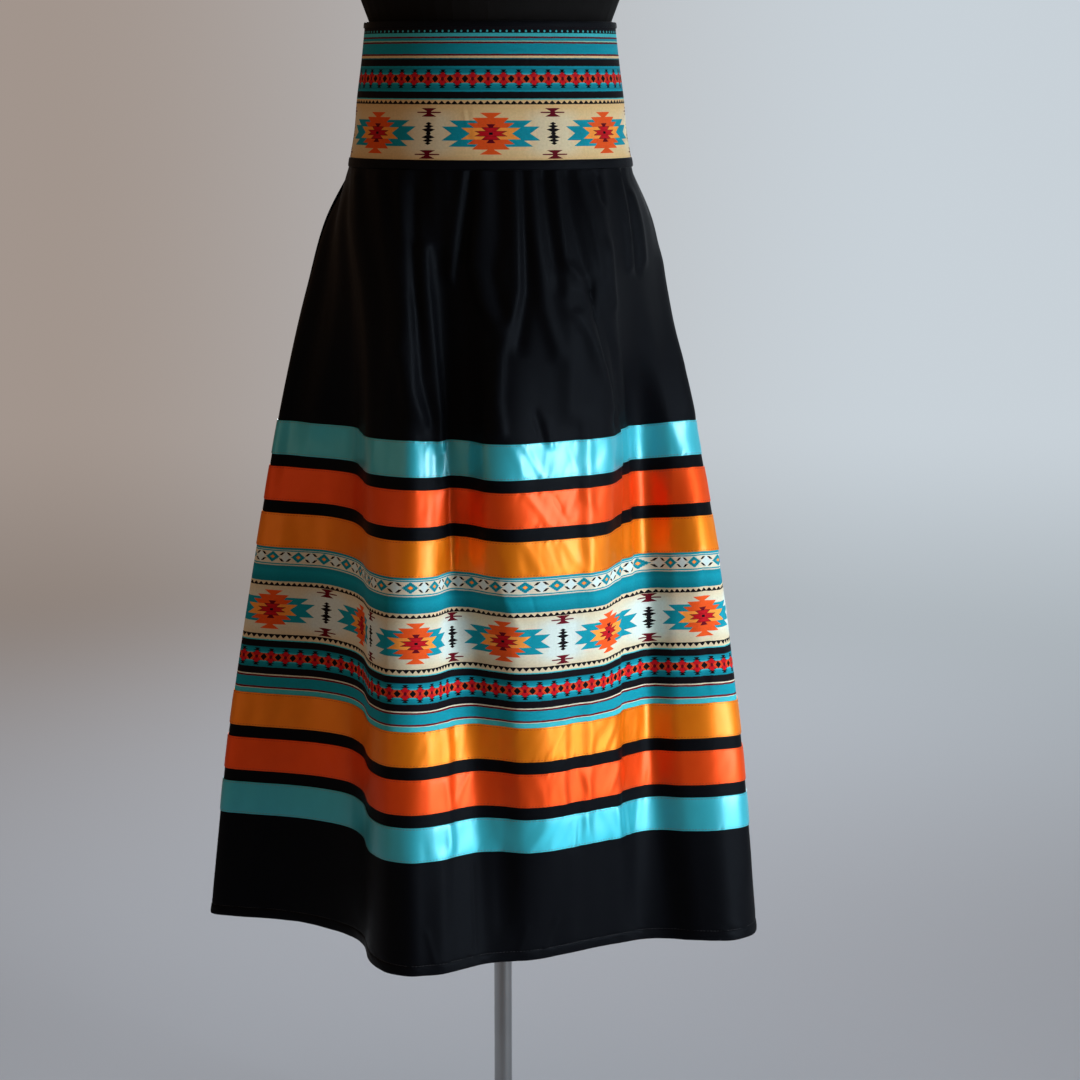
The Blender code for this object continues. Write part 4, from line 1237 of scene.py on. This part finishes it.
def seam_run(v, s, height):
    """Points and normals of a stitched line at v, height(v, s) off the curve."""
    p = skirt_curve(v, s)
    n = normal_2d(skirt_curve, v, s)
    q = p + n * height.reshape(-1, 1)
    pts = np.column_stack([q[:, 0], -q[:, 1], WAIST_Z - v - sag(v, s)])
    nrm = np.column_stack([n[:, 0], -n[:, 1], np.zeros(len(s))])
    return pts, nrm


K_BODY, K_PRINT, K_RIBBON = ((6, 9, 12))
K_BACK = 5
STEP = 0.0036

for side, first, last in SIDES:
    front = side == "front"
    k = K_BODY if front else K_BACK
    up, up_w = panel("upper_panel", side, first, last, LEVELS[0], PRINT_TOP - SEAM_GAP,
                     STEP, k + (1 if front else 0), [BLACK], None)
    mid, mid_w = panel("print_panel", side, first, last, PRINT_TOP, PRINT_FOOT,
                       STEP, K_PRINT if front else k, [PRINT_SKIRT], print_u)
    low, low_w = panel("lower_panel", side, first, last, PRINT_FOOT + SEAM_GAP, SKIRT_LENGTH,
                       STEP, k + (1 if front else 0), [BLACK], None, hem=True)
    # the print's own v starts where the ribbon above it ends
    uvl = mid.data.uv_layers["cloth"]
    flat = np.empty(len(uvl.data) * 2, dtype=np.float32)
    uvl.data.foreach_get("uv", flat)
    flat[1::2] -= RIBBONS[2][1]
    uvl.data.foreach_set("uv", flat)

    bands = []
    for number in range(1, 7):
        rib, rib_w = ribbon(number, side, first, last, K_RIBBON if front else K_BACK + 3)
        bands.append((rib, rib_w))
        s = columns(first, last, (K_RIBBON if front else K_BACK + 3))
        top, foot = RIBBONS[number - 1]
        runs = []
        for v in (top + 0.0017, foot - 0.0017):
            h = uneven(v, s) + 0.0009 + satin(number, v, s) - 0.00012
            runs.append(seam_run(v, s, h))
        st = stitches("ribbon_%d_%s_stitches" % (number, side), runs, THREADS[number - 1])
        ride(st, [])
    s = columns(first, last, k)
    v = SKIRT_LENGTH - HEM_DEPTH - 0.0004
    h = uneven(v, s) - 0.0004
    st = stitches("hem_%s_stitches" % side, [seam_run(v, s, h)], T_BLACK, 0.0028, 0.0010)
    ride(st, [])


# ------------------------------------------------------- waistband pieces
def band_layer(rows, s, height):
    return layer(band_curve, rows, s, height)


for side, first, last in SIDES:
    k = 8 if side == "front" else 5
    s = columns(first, last, k)
    foot_v = BAND_HEIGHT - LOW_BINDING
    rows = spread(0.0, BAND_HEIGHT, 0.003)
    u = WAIST_ARC_BAND(s) - BAND_ZERO
    outer = band_layer(rows, s, lambda i, v, ss: band_uneven(v, ss))
    inner = band_layer(rows, s, lambda i, v, ss: -BAND_T)
    obj = wall("waistband_%s_cloth" % side, outer, inner, u, rows, [PRINT_BAND])
    ride(obj, ["waistband_" + side])

    # binding over the foot of the band, and the one folded over the waist edge
    ends = [round(foot_v + x, 6) for x in (0, .0003, .0008, .0015, .003, .005, .007, .0085,
                                           .0094, .0100, LOW_BINDING)]
    p_mm = WAIST_ARC_BAND(s) * 1000.0

    def low_out(i, v, ss, p_mm=p_mm, foot_v=foot_v):
        t = (v - foot_v) / LOW_BINDING
        full = 1 - abs(2 * t - 1) ** 6
        return 0.0004 + 0.0009 * full + 0.00012 * noise1(p_mm / 11.0, 301) \
            + 0.00008 * noise1(p_mm / 4.0, 302)
    outer = band_layer(ends, s, low_out)
    inner = band_layer(ends, s, lambda i, v, ss: 0.0002)
    obj = wall("waist_binding_low_%s_cloth" % side, outer, inner, u, ends, [BINDING])
    ride(obj, ["waist_binding_low_" + side])

    # section of the top binding: outside, over the top, inside
    section = []
    for v, off, dz in ((TOP_BINDING, 0.0004, 0), (TOP_BINDING, 0.0011, 0), (0.0040, 0.0014, 0),
                       (0.0020, 0.0015, 0), (0.0006, 0.0014, 0.0003), (0.0, 0.0009, 0.0011),
                       (0.0, 0.0, 0.0014), (0.0, -0.0014, 0.0014), (0.0, -0.0026, 0.0010),
                       (0.0008, -0.0032, 0.0), (0.0030, -0.0033, 0), (TOP_BINDING, -0.0031, 0),
                       (TOP_BINDING, -0.0024, 0), (0.0030, -0.0023, 0), (0.0010, -0.0023, 0.0002),
                       (0.0, -0.0018, 0.0005), (0.0, -0.0002, 0.0005), (0.0010, 0.0004, 0.0002)):
        ring = band_layer([v], s, lambda i, vv, ss, off=off: off
                          + 0.00010 * noise1(p_mm / 9.0, 305))[0]
        ring[:, 2] += dz
        section.append(ring)
    grid = np.array(section)
    draw_in(grid)
    count, cols = grid.shape[:2]
    idx = np.arange(count * cols).reshape(count, cols)
    nxt = np.roll(idx, -1, 0)
    faces = np.stack([idx[:, :-1], idx[:, 1:], nxt[:, 1:], nxt[:, :-1]], -1).reshape(-1, 4).tolist()
    faces.append(idx[:, 0].tolist())
    faces.append(idx[::-1, -1].tolist())
    uv = np.stack([np.broadcast_to(u, (count, cols)),
                   np.broadcast_to((np.arange(count) * 0.0011)[:, None], (count, cols))],
                  -1).reshape(-1, 2)
    obj = mesh_from("waist_binding_top_%s_cloth" % side, grid, faces, uv, [BINDING])
    bm = bmesh.new()
    bm.from_mesh(obj.data)
    bmesh.ops.recalc_face_normals(bm, faces=bm.faces)
    bm.to_mesh(obj.data)
    bm.free()
    ride(obj, ["waist_binding_top_" + side])


# ---------------------------------------------------------------- the form
def form_cloth():
    t = Tree("form_jersey")
    co = t.t.nodes.new("ShaderNodeTexCoord")
    s = t.t.nodes.new("ShaderNodeSeparateXYZ")
    t.t.links.new(co.outputs["Object"], s.inputs[0])
    fine = t.noise(co.outputs["Object"], 900.0, 2.0)
    slow = t.noise(co.outputs["Object"], 14.0, 2.0)
    knit = t.math("SINE", t.math("MULTIPLY", s.outputs[2], 2 * math.pi / 0.0011))
    t.set(Base_Color=t.mix(t.math("MULTIPLY_ADD", fine, 0.6, t.math("MULTIPLY", slow, 0.4)),
                           (0.0040, 0.0040, 0.0044, 1), (0.0085, 0.0083, 0.0088, 1)))
    t.set(Roughness=0.86)
    t.shader.inputs["Specular IOR Level"].default_value = 0.06
    t.shader.inputs["Sheen Weight"].default_value = 0.01
    t.shader.inputs["Sheen Roughness"].default_value = 0.5
    t.set(Normal=t.bump(fine, 0.35, 0.0004, t.bump(knit, 0.15, 0.0002)))
    return t.mat


def metal(name, dark, light, rough, grain):
    t = Tree(name)
    co = t.t.nodes.new("ShaderNodeTexCoord")
    brush = t.noise(co.outputs["Object"], 60.0, 3.0, 0.6, grain)
    smudge = t.noise(co.outputs["Object"], 16.0, 2.0)
    t.set(Base_Color=t.mix(smudge, dark, light))
    t.set(Roughness=t.math("MULTIPLY_ADD", brush, 0.10,
                           t.math("MULTIPLY_ADD", smudge, 0.08, rough)))
    t.shader.inputs["Metallic"].default_value = 1.0
    t.set(Normal=t.bump(brush, 0.05, 0.0002))
    return t.mat


for node, mat in (("form_torso", form_cloth()),
                  ("stand_pole", metal("pole_chrome", (0.34, 0.34, 0.34, 1), (0.46, 0.46, 0.46, 1),
                                       0.05, (1.0, 1.0, 0.05))),
                  ("stand_base", metal("base_brushed", (0.40, 0.40, 0.41, 1), (0.54, 0.54, 0.55, 1),
                                       0.24, (1.0, 1.0, 1.0)))):
    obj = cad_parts[node]
    obj.data.materials.clear()
    obj.data.materials.append(mat)

# ------------------------------------------------------ floor, light, camera
bpy.context.scene.view_settings.view_transform = "Standard"
# backdrop tones seen by the camera: painted shade at the left, painted window light at the right
BACKDROP_SHADED_LEFT, BACKDROP_LIT_RIGHT = (0.36, 0.30, 0.265), (0.58, 0.64, 0.69)
GLOW_LEFT, GLOW_RIGHT = (0.190, 0.112, 0.066), (0.140, 0.112, 0.092)
GLOW_BACK = (0.56, 0.62, 0.67)


def two_tone(tree, x, left, right, near, far):
    """Colour that turns from left to right as x goes from near to far."""
    m = tree.nodes.new("ShaderNodeMapRange")
    m.interpolation_type = "SMOOTHSTEP"
    m.inputs["From Min"].default_value = near
    m.inputs["From Max"].default_value = far
    tree.links.new(x, m.inputs["Value"])
    n = tree.nodes.new("ShaderNodeMix")
    n.data_type = "RGBA"
    ins = [i for i in n.inputs if i.type == "RGBA"]
    tree.links.new(m.outputs[0], n.inputs["Factor"])
    ins[0].default_value = (*left, 1)
    ins[1].default_value = (*right, 1)
    return [o for o in n.outputs if o.type == "RGBA"][0]


def behind_right(tree, vector, glow):
    """The glow turns pale in the direction behind the right-hand side."""
    n = tree.nodes.new("ShaderNodeVectorMath")
    n.operation = "NORMALIZE"
    tree.links.new(vector, n.inputs[0])
    d = tree.nodes.new("ShaderNodeVectorMath")
    d.operation = "DOT_PRODUCT"
    tree.links.new(n.outputs["Vector"], d.inputs[0])
    d.inputs[1].default_value = (0.62, 0.785, 0.0)
    m = tree.nodes.new("ShaderNodeMapRange")
    m.interpolation_type = "SMOOTHSTEP"
    m.inputs["From Min"].default_value = 0.35
    m.inputs["From Max"].default_value = 0.90
    tree.links.new(d.outputs["Value"], m.inputs["Value"])
    c = tree.nodes.new("ShaderNodeMix")
    c.data_type = "RGBA"
    ins = [i for i in c.inputs if i.type == "RGBA"]
    tree.links.new(m.outputs[0], c.inputs["Factor"])
    tree.links.new(glow, ins[0])
    ins[1].default_value = (*GLOW_BACK, 1)
    return [o for o in c.outputs if o.type == "RGBA"][0]


def seen_or_glow(tree, seen, glow):
    """The backdrop is pale to the eye, and gives off less light than that."""
    path = tree.nodes.new("ShaderNodeLightPath")
    n = tree.nodes.new("ShaderNodeMix")
    n.data_type = "RGBA"
    ins = [i for i in n.inputs if i.type == "RGBA"]
    tree.links.new(path.outputs["Is Camera Ray"], n.inputs["Factor"])
    tree.links.new(glow, ins[0])
    tree.links.new(seen, ins[1])
    return [o for o in n.outputs if o.type == "RGBA"][0]


world = bpy.data.worlds.new("studio")
bpy.context.scene.world = world
world.use_nodes = True
wt = world.node_tree
wt.nodes.clear()
tc = wt.nodes.new("ShaderNodeTexCoord")
sep = wt.nodes.new("ShaderNodeSeparateXYZ")
wt.links.new(tc.outputs["Generated"], sep.inputs[0])
bg = wt.nodes.new("ShaderNodeBackground")
# the backdrop the camera sees is painted: darker at the left as painted shade, paler at the right as painted window
# light
wt.links.new(seen_or_glow(
    wt, two_tone(wt, sep.outputs[0], BACKDROP_SHADED_LEFT, BACKDROP_LIT_RIGHT, -0.20, 0.16),
    behind_right(wt, tc.outputs["Generated"],
                 two_tone(wt, sep.outputs[0], GLOW_LEFT, GLOW_RIGHT, -0.8, 0.8))), bg.inputs[0])
bg.inputs[1].default_value = 1.0
out = wt.nodes.new("ShaderNodeOutputWorld")
wt.links.new(bg.outputs[0], out.inputs[0])

bm = bmesh.new()
bmesh.ops.create_circle(bm, cap_ends=True, radius=40.0, segments=96)
mesh = bpy.data.meshes.new("floor")
bm.to_mesh(mesh)
bm.free()
floor = bpy.data.objects.new("floor", mesh)
floor.location = (0, 0, -0.0005)
bpy.context.scene.collection.objects.link(floor)
fm = bpy.data.materials.new("floor_painted_glow")
fm.use_nodes = True
ft = fm.node_tree
fs = ft.nodes["Principled BSDF"]
fs.inputs["Base Color"].default_value = (0.53, 0.59, 0.67, 1)
fs.inputs["Roughness"].default_value = 0.8
fs.inputs["Specular IOR Level"].default_value = 0.15
geo = ft.nodes.new("ShaderNodeNewGeometry")
length = ft.nodes.new("ShaderNodeVectorMath")
length.operation = "LENGTH"
ft.links.new(geo.outputs["Position"], length.inputs[0])
where = ft.nodes.new("ShaderNodeSeparateXYZ")
ft.links.new(geo.outputs["Position"], where.inputs[0])
# further out the floor glows though it is no lamp: painted light in the backdrop's tones, with painted shade at the
# left and painted window light at the right
painted_floor_glow = ft.nodes.new("ShaderNodeEmission")
# x over the depth from the camera's side, so the tones meet the backdrop's
depth = ft.nodes.new("ShaderNodeMath")
depth.operation = "ADD"
depth.inputs[1].default_value = 2.8
ft.links.new(where.outputs[1], depth.inputs[0])
far = ft.nodes.new("ShaderNodeMath")
far.operation = "MAXIMUM"
far.inputs[1].default_value = 1.0
ft.links.new(depth.outputs[0], far.inputs[0])
ratio = ft.nodes.new("ShaderNodeMath")
ratio.operation = "DIVIDE"
ft.links.new(where.outputs[0], ratio.inputs[0])
ft.links.new(far.outputs[0], ratio.inputs[1])
# painted shade: the floor's glow is darker towards the form
painted_shade_near_form = ft.nodes.new("ShaderNodeMapRange")
painted_shade_near_form.interpolation_type = "SMOOTHSTEP"
painted_shade_near_form.inputs["From Min"].default_value = 0.2
painted_shade_near_form.inputs["From Max"].default_value = 6.5
painted_shade_near_form.inputs["To Min"].default_value = 0.56
painted_shade_near_form.inputs["To Max"].default_value = 1.0
ft.links.new(where.outputs[1], painted_shade_near_form.inputs["Value"])
shaded = ft.nodes.new("ShaderNodeVectorMath")
shaded.operation = "SCALE"
ft.links.new(two_tone(ft, ratio.outputs[0], BACKDROP_SHADED_LEFT, BACKDROP_LIT_RIGHT, -0.20, 0.16), shaded.inputs[0])
ft.links.new(painted_shade_near_form.outputs[0], shaded.inputs["Scale"])
ft.links.new(seen_or_glow(
    ft, shaded.outputs["Vector"],
    behind_right(ft, geo.outputs["Position"],
                 two_tone(ft, ratio.outputs[0], GLOW_LEFT, GLOW_RIGHT, -0.8, 0.8))),
    painted_floor_glow.inputs[0])
painted_floor_glow.inputs[1].default_value = 1.0
# near the form the floor is a plain lit floor; further out it turns into the painted glow
fade = ft.nodes.new("ShaderNodeMapRange")
fade.interpolation_type = "SMOOTHSTEP"
fade.inputs["From Min"].default_value = 0.5
fade.inputs["From Max"].default_value = 3.6
ft.links.new(length.outputs["Value"], fade.inputs["Value"])
mixs = ft.nodes.new("ShaderNodeMixShader")
ft.links.new(fade.outputs[0], mixs.inputs[0])
ft.links.new(fs.outputs[0], mixs.inputs[1])
ft.links.new(painted_floor_glow.outputs[0], mixs.inputs[2])
ft.links.new(mixs.outputs[0], ft.nodes["Material Output"].inputs[0])
floor.data.materials.append(fm)


def area(name, place, aim, size, power, colour, spread=math.pi):
    data = bpy.data.lights.new(name, "AREA")
    data.shape = "RECTANGLE"
    data.size, data.size_y = size
    data.energy = power
    data.color = colour
    data.spread = spread
    obj = bpy.data.objects.new(name, data)
    obj.location = place
    d = Vector(aim) - Vector(place)
    obj.rotation_euler = d.to_track_quat("-Z", "Y").to_euler()
    bpy.context.scene.collection.objects.link(obj)
    return obj


# the window light is strongest on the lower half of the skirt
area("window_right", (2.90, -1.68, 0.82), (0.0, 0.0, 0.44), (1.45, 1.60), 9.6, (0.90, 0.965, 1.0),
     math.radians(41.0))
# the same daylight off the floor at the right
area("floor_light", (1.85, -1.08, 0.03), (1.85, -1.08, 1.0), (1.7, 1.5), 26.0, (0.90, 0.965, 1.0))
area("fill_left", (-2.9, -1.6, 1.3), (0.0, 0.0, 0.75), (1.8, 1.8), 4.5, (1.0, 0.74, 0.50))
area("soft_back", (0.15, 3.4, 2.0), (0.0, 0.0, 0.8), (1.6, 1.6), 70.0, (0.97, 0.98, 1.0))

cam_data = bpy.data.cameras.new("camera")
cam = bpy.data.objects.new("camera", cam_data)
bpy.context.scene.collection.objects.link(cam)
cam_data.sensor_width = 36.0
cam_data.lens = 2530.0 / 1080.0 * 36.0
cam.location = (0.043, -2.8, WAIST_Z - 0.0515)
cam.rotation_euler = (math.radians(90.0 - 10.48), 0.0, 0.0)
cam_data.clip_start = 0.05
cam_data.clip_end = 120.0
bpy.context.scene.camera = cam
